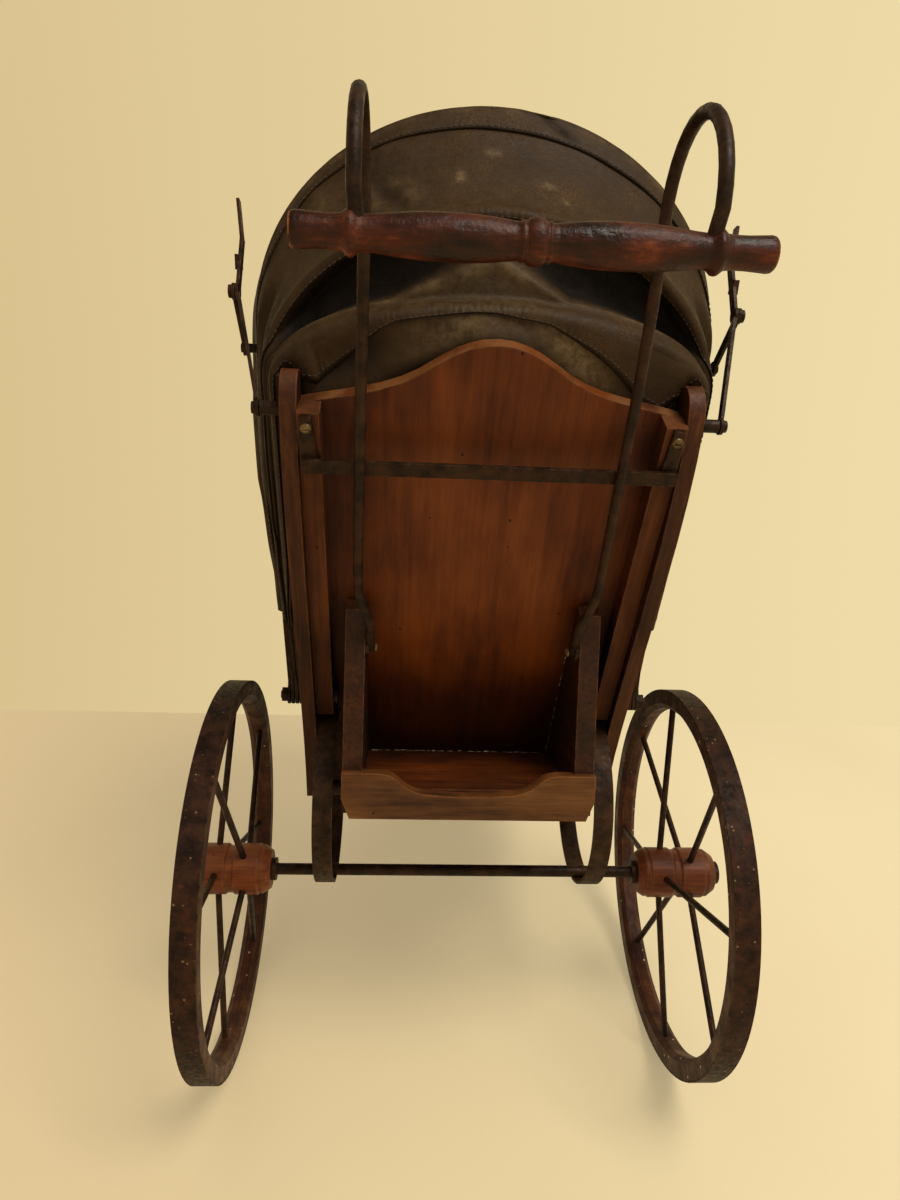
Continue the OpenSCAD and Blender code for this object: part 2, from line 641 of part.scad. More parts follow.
// The roof reaches back over the main leather, but only inside the irons' planes
module front_leather() color("darkslategray") difference() {
    leather_sector(FRONT, main_angle + 4.5, FRONT[4] + 1.6);
    on_bow(FRONT[4] - 7) for (s = [-1, 1]) translate([s * (roof_x + 50), -200, 250])
        cube([100, 400, 520], center = true);
}

// ---- landau irons ----

module stud(s) color("dimgray") from_axle() translate([0, stud_at[0], stud_at[1]])
    rotate([0, s * 90, 0]) {
        translate([0, 0, body_x + seat_gap])
            cylinder(r = 4, h = arm_x - iron_t / 2 - side_gap - body_x - seat_gap, $fn = 32);
        translate([0, 0, body_x + seat_gap]) cylinder(r = iron_pin_r, h = arm_x + 2 - body_x);
        translate([0, 0, arm_x + iron_t / 2 + side_gap]) cylinder(r = 3.6, h = 2, $fn = 32);
    }

// Bar of flat iron between two points on the right side, [x, y, z] each
module flat_bar(p, q, w, t) {
    v = q - p;
    rise = atan2(v[2], v[1]);
    translate(p) rotate([rise, 0, 0])
        rotate([0, 0, -atan2(v[0], norm([v[1], v[2]]))])
            translate([-t / 2, 0, -w / 2]) cube([t, norm(v), w]);
}

// The arm: a drilled eye on the body stud, a slanting bar, a knuckle and a thumb lever
module iron_arm(s) color("dimgray") from_axle() mirror([s < 0 ? 1 : 0, 0, 0]) {
    a = [arm_x, stud_at[0], stud_at[1]];
    k = [knuckle_x, knuckle_at[0], knuckle_at[1]];
    along = unit(k - a);
    tip = k + [0, 22, 31];
    difference() {
        union() {
            translate(a) rotate([0, 90, 0]) cylinder(r = 5, h = iron_t, center = true);
            flat_bar(a + 4.5 * along, k - 3 * along, iron_w - 1, iron_t);
        }
        translate(a) rotate([0, 90, 0]) cylinder(r = iron_pin_r + run_gap, h = 8, center = true);
    }
    translate(k) rotate([0, 90, 0]) cylinder(r = 5, h = iron_t, center = true);
    translate(k) rotate([0, 90, 0]) cylinder(r = iron_pin_r, h = iron_t / 2 + side_gap + iron_t + 0.6);
    translate(k + [iron_t / 2 + side_gap + iron_t + 0.6, 0, 0]) rotate([0, 90, 0])
        cylinder(r = 4, h = 1.6, $fn = 32);
    flat_bar(k + 2 * unit(tip - k), tip, iron_w, iron_t);
    flat_bar(tip - [0, 1, 1], tip + [3, 8, 22], iron_w - 1, iron_t);
    translate(k + 0.55 * (tip - k) + [iron_t / 2, 0, 0]) cube([3.5, 8, 9], center = true);
}

// The link: drilled at the knuckle, and covering the main bow's stud with a plain eye
module iron_link(s) color("dimgray") from_axle() mirror([s < 0 ? 1 : 0, 0, 0]) {
    k = [link_x, knuckle_at[0], knuckle_at[1]];
    e = [link_x, link_at[0], link_at[1]];
    along = unit(e - k);
    difference() {
        union() {
            translate(k) rotate([0, 90, 0]) cylinder(r = 5, h = iron_t, center = true);
            flat_bar(k + 3 * along, e - 3 * along, iron_w - 1, iron_t);
            translate(e) rotate([0, 90, 0]) cylinder(r = 5, h = iron_t, center = true);
        }
        translate(k) rotate([0, 90, 0]) cylinder(r = iron_pin_r + run_gap, h = 8, center = true);
    }
    translate(e) rotate([0, 90, 0]) cylinder(r = 3, h = 2.6, $fn = 32);
}

// ---- front wheel ----

front_c = [wheelbase, front_r - wheel_r];    // its centre, [y, z] from the axle
crown_c = chassis_to_axle([crown_u + 1, board_lo]);  // where the fork's crown bolts on

module front_block() color("saddlebrown") on_chassis()
    translate([-shelf_x, bearer_end - block_l, board_lo])
        cube([2 * shelf_x, block_l, foot_lo - seat_gap - board_lo]);

// Crown plate under the block, two raking legs and an eye at the end of each
module front_fork() color("dimgray") difference() {
    union() {
        on_chassis() translate([-crown_w / 2, crown_u - crown_l / 2, board_lo - crown_t - seat_gap])
            cube([crown_w, crown_l, crown_t]);
        from_axle() for (s = [-1, 1]) {
            x = s * (fork_in + fork_t / 2);
            eye = [x, front_c[0], front_c[1]];
            flat_bar([x, crown_c[0], crown_c[1] - 2], eye, fork_w, fork_t);
            translate(eye) rotate([0, 90, 0]) cylinder(r = fork_w / 2, h = fork_t, center = true);
        }
    }
    from_axle() translate([0, front_c[0], front_c[1]]) rotate([0, 90, 0])
        cylinder(r = pin_r + hole_gap, h = 60, center = true);
    on_chassis() translate([-40, 240, board_lo - seat_gap]) cube([80, 90, 30]);
}

module front_axle() color("gray") from_axle() translate([0, front_c[0], front_c[1]])
    rotate([0, 90, 0]) {
        half = fork_in + fork_t + seat_gap;
        cylinder(r = pin_r, h = 2 * half + 8, center = true);
        for (s = [0, 1]) mirror([0, 0, s]) translate([0, 0, half]) cylinder(r = 7, h = 3, $fn = 6);
    }

module front_tyre() color("dimgray") from_axle() translate([0, front_c[0], front_c[1]])
    rotate([0, 90, 0]) ring(front_r, front_r - tyre_t, 14);

// Rim, four flat spokes and hub, cut from one disc
module front_wheel() color("saddlebrown") from_axle() translate([0, front_c[0], front_c[1]])
    rotate([0, 90, 0]) difference() {
        union() {
            ring(front_r - tyre_t, front_r - 11, 14);
            cylinder(r = 12, h = 2 * (fork_in - side_gap), center = true);
            for (i = [0 : 5]) rotate([0, 0, 60 * i]) translate([24, 0, 0])
                cube([34, 8, 7], center = true);
        }
        cylinder(r = pin_r + run_gap, h = 60, center = true);
    }

axle();
axle_nut(-1);  // axle_nut_left
axle_nut(1);  // axle_nut_right
tyre(-1);  // tyre_left
tyre(1);  // tyre_right
felloe(-1);  // felloe_left
felloe(1);  // felloe_right
hub(-1);  // hub_left
hub(1);  // hub_right
spokes(-1);  // spokes_left
spokes(1);  // spokes_right
hoop(-1);  // hoop_left
hoop(1);  // hoop_right
hoop_rivets();
hoop_bolts();
tie(-1);  // tie_left
tie(1);  // tie_right
bearer(-1);  // bearer_left
bearer(1);  // bearer_right
cross_board();
shelf_board();
platform();
back_panel();
side(-1);  // side_left
side(1);  // side_right
batten(-1);  // batten_left
batten(1);  // batten_right
seat_board();
seat_riser();
foot_board();
dash_board();
strap();
strap_screws();
rod(-1);  // rod_left
rod(1);  // rod_right
rod_screws();
handle_bar();
pivot(-1);  // pivot_left
pivot(1);  // pivot_right
bow(REAR);  // rear_bow
bow(MIDDLE);  // middle_bow
main_bow();
bow(FRONT);  // front_bow
rear_leather();
middle_leather();
main_leather();
front_leather();
stud(-1);  // stud_left
stud(1);  // stud_right
iron_arm(-1);  // iron_arm_left
iron_arm(1);  // iron_arm_right
iron_link(-1);  // iron_link_left
iron_link(1);  // iron_link_right
front_block();
front_fork();
front_axle();
front_wheel();
front_tyre();
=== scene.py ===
# %% [markdown]
# # A doll's stroller with a folding leather hood
# The stroller is a wooden tub on two big spoked wheels. It hangs on a pair of iron hoops, and a
# leather hood folds over it on four iron bows. The hard parts come from the CAD model as a fixed
# frame. This lesson gives them old, worn finishes and sews the hood's leather over the bows.

# %% Load the frame
import json
import math

import bpy
import numpy as np
from mathutils import Matrix, Vector, noise


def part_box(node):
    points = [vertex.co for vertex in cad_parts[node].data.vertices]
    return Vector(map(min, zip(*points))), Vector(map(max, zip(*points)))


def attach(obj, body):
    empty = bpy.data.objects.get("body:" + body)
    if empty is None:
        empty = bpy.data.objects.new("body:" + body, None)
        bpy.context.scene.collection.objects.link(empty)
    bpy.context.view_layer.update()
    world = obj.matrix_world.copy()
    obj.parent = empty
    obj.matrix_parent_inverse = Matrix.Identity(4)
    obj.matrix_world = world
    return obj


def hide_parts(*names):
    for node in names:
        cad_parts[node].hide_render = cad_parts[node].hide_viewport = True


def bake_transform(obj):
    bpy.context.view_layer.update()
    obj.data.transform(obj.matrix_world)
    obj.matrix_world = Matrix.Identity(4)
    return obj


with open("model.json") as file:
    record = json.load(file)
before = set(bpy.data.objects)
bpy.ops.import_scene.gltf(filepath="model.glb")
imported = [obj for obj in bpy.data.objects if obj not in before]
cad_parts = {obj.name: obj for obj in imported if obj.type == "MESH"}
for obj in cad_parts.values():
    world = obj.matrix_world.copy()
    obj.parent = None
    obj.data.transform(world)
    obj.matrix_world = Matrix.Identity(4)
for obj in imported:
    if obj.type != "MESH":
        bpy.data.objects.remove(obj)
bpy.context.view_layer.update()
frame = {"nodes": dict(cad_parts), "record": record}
MM = 0.001


# %% [markdown]
# ## Two makers
# Whatever is new here goes into the scene in the same way: the camera, the lamp, and every piece
# that starts as a list of points and faces.


# %% Put things in the scene
def put_in_scene(name, data):
    """A new object with a camera, a lamp or a mesh as its data."""
    made = bpy.data.objects.new(name, data)
    bpy.context.scene.collection.objects.link(made)
    return made


def new_piece(name, points, faces, *materials):
    """A smooth-shaded piece from points in metres, with its materials."""
    mesh = bpy.data.meshes.new(name)
    mesh.from_pydata(np.asarray(points).tolist(), [], faces)
    mesh.polygons.foreach_set("use_smooth", [True] * len(faces))
    for material in materials:
        mesh.materials.append(material)
    return put_in_scene(name, mesh)


# %% [markdown]
# ## Camera
# The viewer stands behind the stroller, a little to the left, and looks down at about 22 degrees.
# The lens is a wide one, so the near handle looks large and the wheels splay outwards. The camera
# is built as a chain of turns, so each habit of the viewer keeps a number of its own.

# %% The camera
EYE = Vector((-0.0505, -0.6287, 0.6113))
TURN_RIGHT = 3.63
LOOK_DOWN = 21.94
TILT = 2.96
LENS_MM = 24.45

camera_data = bpy.data.cameras.new("camera")
camera_data.lens = LENS_MM
camera_data.sensor_width = 36
camera = put_in_scene("camera", camera_data)
camera.matrix_world = (
    Matrix.Translation(EYE)
    @ Matrix.Rotation(math.radians(-TURN_RIGHT), 4, "Z")
    @ Matrix.Rotation(math.radians(90 - LOOK_DOWN), 4, "X")
    @ Matrix.Rotation(math.radians(TILT), 4, "Z")
)
bpy.context.scene.camera = camera
bpy.context.scene.view_settings.view_transform = "Standard"
print("eye", tuple(EYE), "lens", LENS_MM)

# %% [markdown]
# ## Colours
# Paint colours are easiest to name as the 0 to 255 numbers of a colour card. Shaders count light
# in a straight line, so a card colour is bent to linear before it goes into a node.


# %% A colour card
def card(red, green, blue):
    """A colour-card colour (0 to 255) as a linear colour with full alpha."""
    linear = []
    for part in (red, green, blue):
        share = part / 255
        low = share / 12.92
        high = ((share + 0.055) / 1.055) ** 2.4
        linear.append(low if share <= 0.04045 else high)
    return (*linear, 1.0)


print("mid grey of the card", [round(c, 3) for c in card(128, 128, 128)])

# %% [markdown]
# ## A workbench for nodes
# The sky and every finish below are mixes of nodes. A small helper class keeps the wiring short:
# it adds a node, feeds its sockets with numbers, card colours or other nodes, and hands back the
# output.


# %% The workbench
class Bench:
    """A tree of shader nodes, built up node by node."""

    def __init__(self, tree, space):
        self.nodes = tree.nodes
        self.links = tree.links
        self.place = self.add("TexCoord").outputs[space]

    def feed(self, socket, value):
        """A socket takes a number, three card numbers, a linear colour or another output."""
        if isinstance(value, bpy.types.NodeSocket):
            self.links.new(value, socket)
        elif isinstance(value, tuple) and len(value) == 3:
            socket.default_value = card(*value)
        else:
            socket.default_value = value

    def add(self, kind, inputs=(), **settings):
        """A new shader node with its settings and its inputs as (socket, value) pairs."""
        made = self.nodes.new("ShaderNode" + kind)
        for key, value in settings.items():
            setattr(made, key, value)
        for socket, value in inputs:
            self.feed(made.inputs[socket], value)
        return made

    def calc(self, operation, a, b=0.0):
        """One step of arithmetic."""
        return self.add("Math", [(0, a), (1, b)], operation=operation).outputs[0]

    def plus(self, a, b):
        """The sum of two values."""
        return self.calc("ADD", a, b)

    def times(self, first, *others):
        """The product of its values."""
        for other in others:
            first = self.calc("MULTIPLY", first, other)
        return first

    def weigh(self, a, b, share):
        """A weighted mean of two values, with the first one's share."""
        return self.plus(self.times(a, share), self.times(b, 1 - share))

    def coordinate(self, axis):
        """One coordinate of the place."""
        return self.add("SeparateXYZ", [(0, self.place)]).outputs[axis]

    def band(self, value, low, high, out_low=0.0, out_high=1.0, smooth=True):
        """Stretches low..high to out_low..out_high, and holds it there."""
        labels = ("Value", "From Min", "From Max", "To Min", "To Max")
        inputs = zip(labels, (value, low, high, out_low, out_high))
        kind = "SMOOTHSTEP" if smooth else "LINEAR"
        return self.add("MapRange", inputs, interpolation_type=kind).outputs[0]

    def mix(self, share, a, b):
        """Colour b over colour a by a share."""
        made = self.add("Mix", [(0, share), (6, a), (7, b)], data_type="RGBA")
        return made.outputs[2]

    def seen_directly(self):
        """1 for rays from the camera, a mirror or glass, and 0 for rays that carry light."""
        path = self.add("LightPath").outputs
        seen = self.calc("MAXIMUM", path["Is Camera Ray"], path["Is Glossy Ray"])
        return self.calc("MAXIMUM", seen, path["Is Transmission Ray"])

    def show(self, output, lit, seen, share):
        """Sends a shader to the output, with a share of the one that only the viewer sees."""
        inputs = [(0, share), (1, lit.outputs[0]), (2, seen.outputs[0])]
        made = self.add("MixShader", inputs)
        self.feed(self.nodes[output].inputs["Surface"], made.outputs[0])


print("workbench ready")

# %% [markdown]
# ## Light, floor and background
# A big soft lamp hangs high on the right, a little behind the viewer, and a pale sky fills the
# shadows. The background is painted only for rays that come from the camera or a reflection, so
# it can be bright without lighting the stroller. High up it turns to a dim ceiling, which keeps
# the gloss of the dark leather deep. The floor stops where a wall would stand.

# %% The sky and the backdrop colour
SKY_COLOUR = (1.0, 0.955, 0.88, 1)
SKY_STRENGTH = 0.6
WALL_LEFT = (216, 192, 141)
WALL_RIGHT = (238, 219, 168)
CEILING = 0.22

world = bpy.data.worlds.new("studio")
bpy.context.scene.world = world
world.use_nodes = True
air = Bench(world.node_tree, "Generated")
sky = air.nodes["Background"]
sky.inputs["Color"].default_value = SKY_COLOUR
sky.inputs["Strength"].default_value = SKY_STRENGTH
rightward = air.band(air.coordinate("X"), -0.5, 0.5, smooth=False)
wall_colour = air.mix(rightward, WALL_LEFT, WALL_RIGHT)
dimming = air.band(air.coordinate("Z"), 0.3, 0.75, 1.0, CEILING, smooth=False)
wall = air.add("Background", [("Color", wall_colour), ("Strength", dimming)])
air.show("World Output", sky, wall, air.seen_directly())
print("sky strength", SKY_STRENGTH)

# %% The lamp
LAMP_HEIGHT = math.radians(62)
LAMP_SIDE = math.radians(42)
LAMP_DISTANCE = 2.2
LAMP_WATTS = 34
LAMP_SIZE = 0.9
LAMP_COLOUR = (1.0, 0.945, 0.84)
AIM = Vector((0, 0, 0.35))

level = Vector((math.sin(LAMP_SIDE), -math.cos(LAMP_SIDE), 0)) * math.cos(LAMP_HEIGHT)
lamp_place = AIM + LAMP_DISTANCE * (level + Vector((0, 0, math.sin(LAMP_HEIGHT))))
lamp_data = bpy.data.lights.new("window_light", "AREA")
lamp_data.energy = LAMP_WATTS
lamp_data.size = LAMP_SIZE
lamp_data.color = LAMP_COLOUR
lamp = put_in_scene("window_light", lamp_data)
lamp.location = lamp_place
lamp.rotation_mode = "QUATERNION"
lamp.rotation_quaternion = (AIM - lamp_place).to_track_quat("-Z", "Y")
print("lamp at", [round(c, 2) for c in lamp_place])

# %% [markdown]
# ## A workbench for finishes
# A finish is a tree of nodes that remembers two things, its colour and its bump so far, so that
# each new coat or relief goes over the last one. Its texture space is the piece's own space in
# metres, so a grain 2 mm wide is written as 2 mm and travels with the piece when it moves.


# %% The finishes' recipes
FINISHES = {}


class Finish(Bench):
    """One material, built up node by node and kept by its name."""

    def __init__(self, name):
        self.material = FINISHES[name] = bpy.data.materials.new(name)
        self.material.use_nodes = True
        super().__init__(self.material.node_tree, "Object")
        self.shader = self.nodes["Principled BSDF"]
        self.colour = None
        self.bump = None

    def along(self, turn, stretch):
        """The place in a turned frame, with patterns drawn out along its Z axis."""
        made = self.add("Mapping", [("Vector", self.place)], vector_type="TEXTURE")
        made.inputs["Rotation"].default_value = [math.radians(a) for a in turn]
        made.inputs["Scale"].default_value = (1, 1, stretch)
        return made.outputs[0]

    def noise(self, size, place=None, detail=4.0, rough=0.55, wander=0.0):
        """Soft noise whose spots are about size metres wide."""
        labels = ("Vector", "Scale", "Detail", "Roughness", "Distortion")
        inputs = zip(labels, (place or self.place, 1 / size, detail, rough, wander))
        return self.add("TexNoise", inputs).outputs["Fac"]

    def spots(self, size, place=None, feature="F1"):
        """The distance to scattered points about size metres apart."""
        inputs = [("Vector", place or self.place), ("Scale", 1 / size)]
        return self.add("TexVoronoi", inputs, feature=feature).outputs["Distance"]

    def ramp(self, value, *stops):
        """Starts the colour with a ramp from (position, card colour) stops."""
        made = self.add("ValToRGB", [("Fac", value)])
        line = made.color_ramp.elements
        for extra in range(len(stops) - 2):
            line.new(0.1 + 0.1 * extra)
        for element, (position, colour) in zip(line, stops):
            element.position = position
            element.color = card(*colour)
        self.colour = made.outputs["Color"]

    def rounded(self, radius):
        """The surface's direction with its edges rounded off."""
        return self.add("Bevel", [("Radius", radius)], samples=4).outputs[0]

    def edges(self, radius):
        """How sharply the surface turns here: 0 on a flat face, 1 on an edge."""
        real = self.add("NewGeometry").outputs["Normal"]
        inputs = [(0, self.rounded(radius)), (1, real)]
        cosine = self.add("VectorMath", inputs, operation="DOT_PRODUCT")
        return self.band(cosine.outputs["Value"], 0.995, 0.86)

    def facing_up(self):
        """1 where the surface looks at the sky, 0 where it is upright or looks down."""
        real = self.add("NewGeometry").outputs["Normal"]
        split = self.add("SeparateXYZ", [(0, real)])
        return self.band(split.outputs["Z"], 0.2, 0.95)

    def corners(self, reach):
        """1 deep in a corner, 0 out in the open: a mask for painted shade, from ambient occlusion."""
        made = self.add("AmbientOcclusion", [("Distance", reach)], samples=4)
        return self.band(made.outputs["AO"], 0.85, 0.25)

    def attribute(self, name):
        """A number painted on the mesh's points."""
        return self.add("Attribute", attribute_name=name).outputs["Fac"]

    def paint(self, coat, *shares):
        """Lays a coat over the colour so far, as strong as the product of its shares."""
        self.colour = self.mix(self.times(*shares), self.colour, coat)

    def relief(self, height, depth, soft=None):
        """Bump of about depth metres, over the bump so far or over edges rounded by soft."""
        inputs = [("Height", height), ("Strength", 1.0), ("Distance", depth)]
        made = self.add("Bump", inputs)
        ground = self.rounded(soft) if soft else self.bump
        if ground is not None:
            self.links.new(ground, made.inputs["Normal"])
        self.bump = made.outputs[0]

    def finish(self, roughness, specular=0.5, metallic=0.0, sheen=0.0):
        """Wires the colour, roughness and bump, and sets the even sockets."""
        sockets = self.shader.inputs
        self.feed(sockets["Base Color"], self.colour)
        self.feed(sockets["Roughness"], roughness)
        self.links.new(self.bump, sockets["Normal"])
        sockets["Specular IOR Level"].default_value = specular
        sockets["Metallic"].default_value = metallic
        sockets["Sheen Weight"].default_value = sheen
        return self.material


print("recipes ready")

# %% [markdown]
# ## Floor
# A plain pale floor catches the shadow. Its near part is there for every view, and it ends at a
# line where the wall begins. Part of its colour is a glow that only the viewer sees, so the
# shadow stays as faint as it is in a bright room.

# %% Make the floor
FLOOR_END = 0.42
FLOOR_REACH = 4.0
FLOOR_GLOW = 0.36

boards = Finish("pale_floor")
sideways = boards.band(boards.coordinate("X"), -0.55, 0.55)
boards.colour = boards.mix(sideways, (228, 203, 156), (244, 225, 178))
boards.paint((205, 182, 138), boards.band(boards.noise(0.5, detail=3), 0.3, 0.7, 0.0, 0.12))
boards.relief(boards.noise(0.004), 0.0002)
lit_floor = boards.finish(0.7)
glow = boards.add("Emission", [("Color", boards.colour), ("Strength", 1.0)])
glowing = boards.times(boards.seen_directly(), FLOOR_GLOW)
boards.show("Material Output", boards.shader, glow, glowing)
wide = FLOOR_REACH
floor_points = [(-wide, -wide, 0), (wide, -wide, 0), (wide, FLOOR_END, 0), (-wide, FLOOR_END, 0)]
new_piece("floor", floor_points, [(0, 1, 2, 3)], lit_floor)
print("floor ends at y", FLOOR_END)

# %% [markdown]
# ## Old stained wood
# The tub was stained red-brown long ago. The stain has gone thin in the middle of the boards,
# and pale along the edges where hands and boots rubbed it. One recipe makes every wooden piece:
# streaks drawn out along the grain, soft clouds of wear, small dark specks, painted shade deep in
# each inside corner where ambient occlusion finds it, and a worn edge. The panel also gets painted
# shade that darkens it towards its bottom. Each piece gets its own grain direction and colours.

# %% The wood recipe
LOW_PAINTED_SHADE = 0.62
CLOUD_LIFT = 0.05
SATIN = 0.2


def wood(name, turn, dark, middle, light, worn, gloss=0.5, grain=1.0, lift=1.0, top=0.3,
         streaky=0.4, low=None):
    """Stained wood with its grain along the turned Z axis, in dark, middle and light colours.

    Between the two heights in low, the wood is painted darker downwards, as painted shade.
    """
    f = Finish(name)
    deep = [c * 0.3 for c in card(*dark)[:3]] + [1]
    streak = f.noise(0.0032 * grain, f.along(turn, 16), detail=6, rough=0.58, wander=0.3)
    hair = f.noise(0.0007 * grain, f.along(turn, 40), detail=3)
    cloud = f.noise(0.055, f.along(turn, 2.2), detail=5, rough=0.58)
    tone = f.weigh(streak, cloud, streaky)
    f.ramp(tone, (0.36, dark), (0.5, middle), (0.64, light))
    f.paint(dark, f.band(hair, 0.6, 0.74, 0, 0.4))
    # Painted shade: the deep colour in each inside corner, where ambient occlusion finds it.
    f.paint(deep, f.corners(0.035), f.band(cloud, 0.2, 0.6, 0.75, 1.0), 0.8)
    # Painted shade: the wood darkens towards the bottom, between the two heights in low.
    if low:
        height = f.plus(f.coordinate("Z"), f.times(cloud, CLOUD_LIFT))
        unshaded_height, shaded_height = (edge + CLOUD_LIFT / 2 for edge in low)
        f.paint(deep, f.band(height, unshaded_height, shaded_height, 0, LOW_PAINTED_SHADE))
    speck = f.band(f.spots(0.011, f.along((0, 0, 0), 1.3)), 0.1, 0.06)
    f.paint(deep, speck, f.band(f.noise(0.012, detail=1), 0.48, 0.54))
    f.paint(worn, f.edges(0.0016), f.band(f.noise(0.009), 0.34, 0.6), 0.8)
    settled = f.band(f.noise(0.02, detail=6), 0.3, 0.65)
    f.paint(worn, f.facing_up(), settled, top)
    rough = f.band(tone, 0.3, 0.7, gloss + 0.14, gloss - 0.08)
    f.relief(f.plus(streak, f.times(hair, -0.6)), 0.00022 * lift, soft=0.0009)
    f.relief(f.noise(0.03, detail=2), 0.0012 * lift)
    return f.finish(rough, SATIN)


# %% The kinds of wood
# The grain's turns about X, Y and Z are in degrees. A row of the table holds the name, the grain,
# the dark, middle, light and worn colours, and the habits that differ.
PANEL = (18.8, 0, 0)
CHASSIS = (-108, 0, 0)
ACROSS = (0, 90, 0)
WOODS = (
    ("panel_wood", PANEL, (58, 20, 3), (95, 42, 7), (118, 57, 14), (118, 76, 40),
     {"grain": 1.6, "lift": 0.6, "top": 0.75, "streaky": 0.28, "gloss": 0.46,
      "low": (0.352, 0.292)}),
    ("batten_wood", PANEL, (56, 22, 5), (88, 42, 12), (112, 58, 20), (118, 76, 40), {"streaky": 0.3}),
    ("side_wood", PANEL, (34, 13, 3), (62, 29, 9), (92, 48, 17), (120, 68, 30), {}),
    ("chassis_wood", CHASSIS, (26, 10, 3), (47, 21, 6), (72, 37, 13), (116, 68, 32), {}),
    ("shelf_wood", ACROSS, (50, 19, 5), (88, 39, 10), (124, 61, 19), (118, 68, 30), {"top": 0.15}),
    ("cross_wood", ACROSS, (52, 27, 8), (88, 53, 21), (114, 75, 36), (150, 90, 42), {"streaky": 0.3}),
    ("inner_wood", ACROSS, (50, 24, 9), (80, 42, 18), (108, 64, 30), (140, 94, 54), {}),
    ("hub_wood", ACROSS, (52, 19, 6), (88, 38, 13), (122, 62, 24), (140, 88, 50),
     {"gloss": 0.4, "top": 0.2}),
)
for *recipe, habits in WOODS:
    wood(*recipe, **habits)
print("wood finishes", [row[0] for row in WOODS])

# %% [markdown]
# ## Bent wood of the wheels
# A wheel's rim is bent from a long strip, so its grain runs round the ring. The node mix works
# out each point's distance from the axle, and reads the noise there: streaks then follow the rim
# without any unwrapping.


# %% The wheels' wood
DRIFT = 0.06


def ring_place(f, y, z):
    """Across and out from an axle, with a slow drift round it, for streaks that follow a rim."""
    flat_y = f.calc("SUBTRACT", f.coordinate("Y"), y)
    flat_z = f.calc("SUBTRACT", f.coordinate("Z"), z)
    out = f.calc("SQRT", f.plus(f.calc("POWER", flat_y, 2.0), f.calc("POWER", flat_z, 2.0)))
    drift = f.times(f.plus(flat_y, flat_z), DRIFT)
    inputs = [(0, f.coordinate("X")), (1, out), (2, drift)]
    return f.add("CombineXYZ", inputs).outputs[0]


def rim_finish(name, tyre):
    """Red-brown rim, darker along the grain, with rubbed edges and pale knocks."""
    f = Finish(name)
    middle = sum(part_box(tyre), Vector()) / 2
    streak = f.noise(0.0022, ring_place(f, middle.y, middle.z), detail=6, rough=0.62, wander=0.3)
    cloud = f.noise(0.018, detail=7, rough=0.66)
    tone = f.weigh(streak, cloud, 0.45)
    f.ramp(tone, (0.36, (32, 14, 6)), (0.5, (62, 30, 13)), (0.64, (92, 49, 22)))
    rubbed = f.band(f.noise(0.007), 0.4, 0.62)
    f.paint((140, 98, 64), f.edges(0.0014), rubbed, 0.6)
    knock = f.band(f.spots(0.0085), 0.14, 0.08)
    rare = f.band(f.noise(0.016, detail=2), 0.47, 0.55)
    f.paint((186, 162, 130), knock, rare)
    f.relief(streak, 0.0003, soft=0.0008)
    f.relief(f.noise(0.008, detail=6), 0.0008)
    rough = f.band(cloud, 0.35, 0.65, 0.64, 0.46)
    print(name, "turns about y", round(middle.y, 4), "z", round(middle.z, 4))
    return f.finish(rough, SATIN)


rim_finish("rim_wood", "tyre_left")
rim_finish("front_rim_wood", "front_tyre")

# %% [markdown]
# ## Varnished handle
# The grip was turned and varnished a deep red-brown. Years of hands have worn the varnish to
# orange in patches and left a ripple in its gloss, so the coat sits over a lightly dented ground.


# %% The handle's varnish
def handle_finish():
    """Dark red varnish, rubbed to orange on its swellings."""
    f = Finish("handle_varnish")
    streak = f.noise(0.002, f.along(ACROSS, 10), detail=6, rough=0.62)
    patch = f.noise(0.016, f.along(ACROSS, 1.8), detail=6, rough=0.68)
    tone = f.weigh(streak, patch, 0.22)
    varnish = ((0.38, (26, 9, 4)), (0.49, (50, 18, 5)), (0.58, (74, 29, 8)), (0.68, (118, 55, 18)))
    f.ramp(tone, *varnish)
    rubbed = f.band(f.noise(0.008), 0.38, 0.6)
    f.paint((134, 84, 50), f.edges(0.002), rubbed, 0.7)
    f.relief(f.noise(0.004, detail=3), 0.0006, soft=0.0008)
    f.relief(streak, 0.0002)
    rough = f.band(patch, 0.35, 0.65, 0.34, 0.54)
    return f.finish(rough, 0.22)


handle_varnish = handle_finish()
print("handle finish", handle_varnish.name)

# %% [markdown]
# ## Old iron
# The rods, straps and bows are forged iron that has gone dark brown. Real old iron is never one
# colour: there are rusty freckles, a greasy dark skin, and bright places along the edges. The
# springs and tyres carry grey-brown dust as well.


# %% The iron recipe
def iron(name, dark, middle, rust, bright, dust, dusty=0.3, gloss=0.55, metal=0.1, rub=0.65,
         knocks=0):
    """Old iron with rust freckles, pits, rubbed edges and pale knocks."""
    f = Finish(name)
    cloud = f.noise(0.012, detail=7, rough=0.68)
    freckle = f.noise(0.0035, detail=6, rough=0.7)
    f.ramp(cloud, (0.36, dark), (0.62, middle))
    f.paint(rust, f.band(freckle, 0.5, 0.66), f.band(cloud, 0.42, 0.62), 0.8)
    if rub:
        rubbed = f.band(f.noise(0.006), 0.42, 0.62, 0, rub)
        f.paint(bright, f.edges(0.0008), rubbed)
    film = f.band(f.noise(0.012, detail=7, rough=0.7), 0.4, 0.7, 0, dusty)
    f.paint(dust, film)
    if knocks:
        spot = f.band(f.spots(0.005), 0.2, 0.08)
        rare = f.band(f.noise(0.014, detail=2), 0.5, 0.56, 0, knocks)
        f.paint((150, 122, 86), spot, rare)
    rough = f.band(freckle, 0.35, 0.7, gloss - 0.08, gloss + 0.25)
    f.relief(freckle, 0.00025, soft=0.0005)
    f.relief(f.noise(0.009, detail=3), 0.0005)
    return f.finish(rough, 0.16, metal)


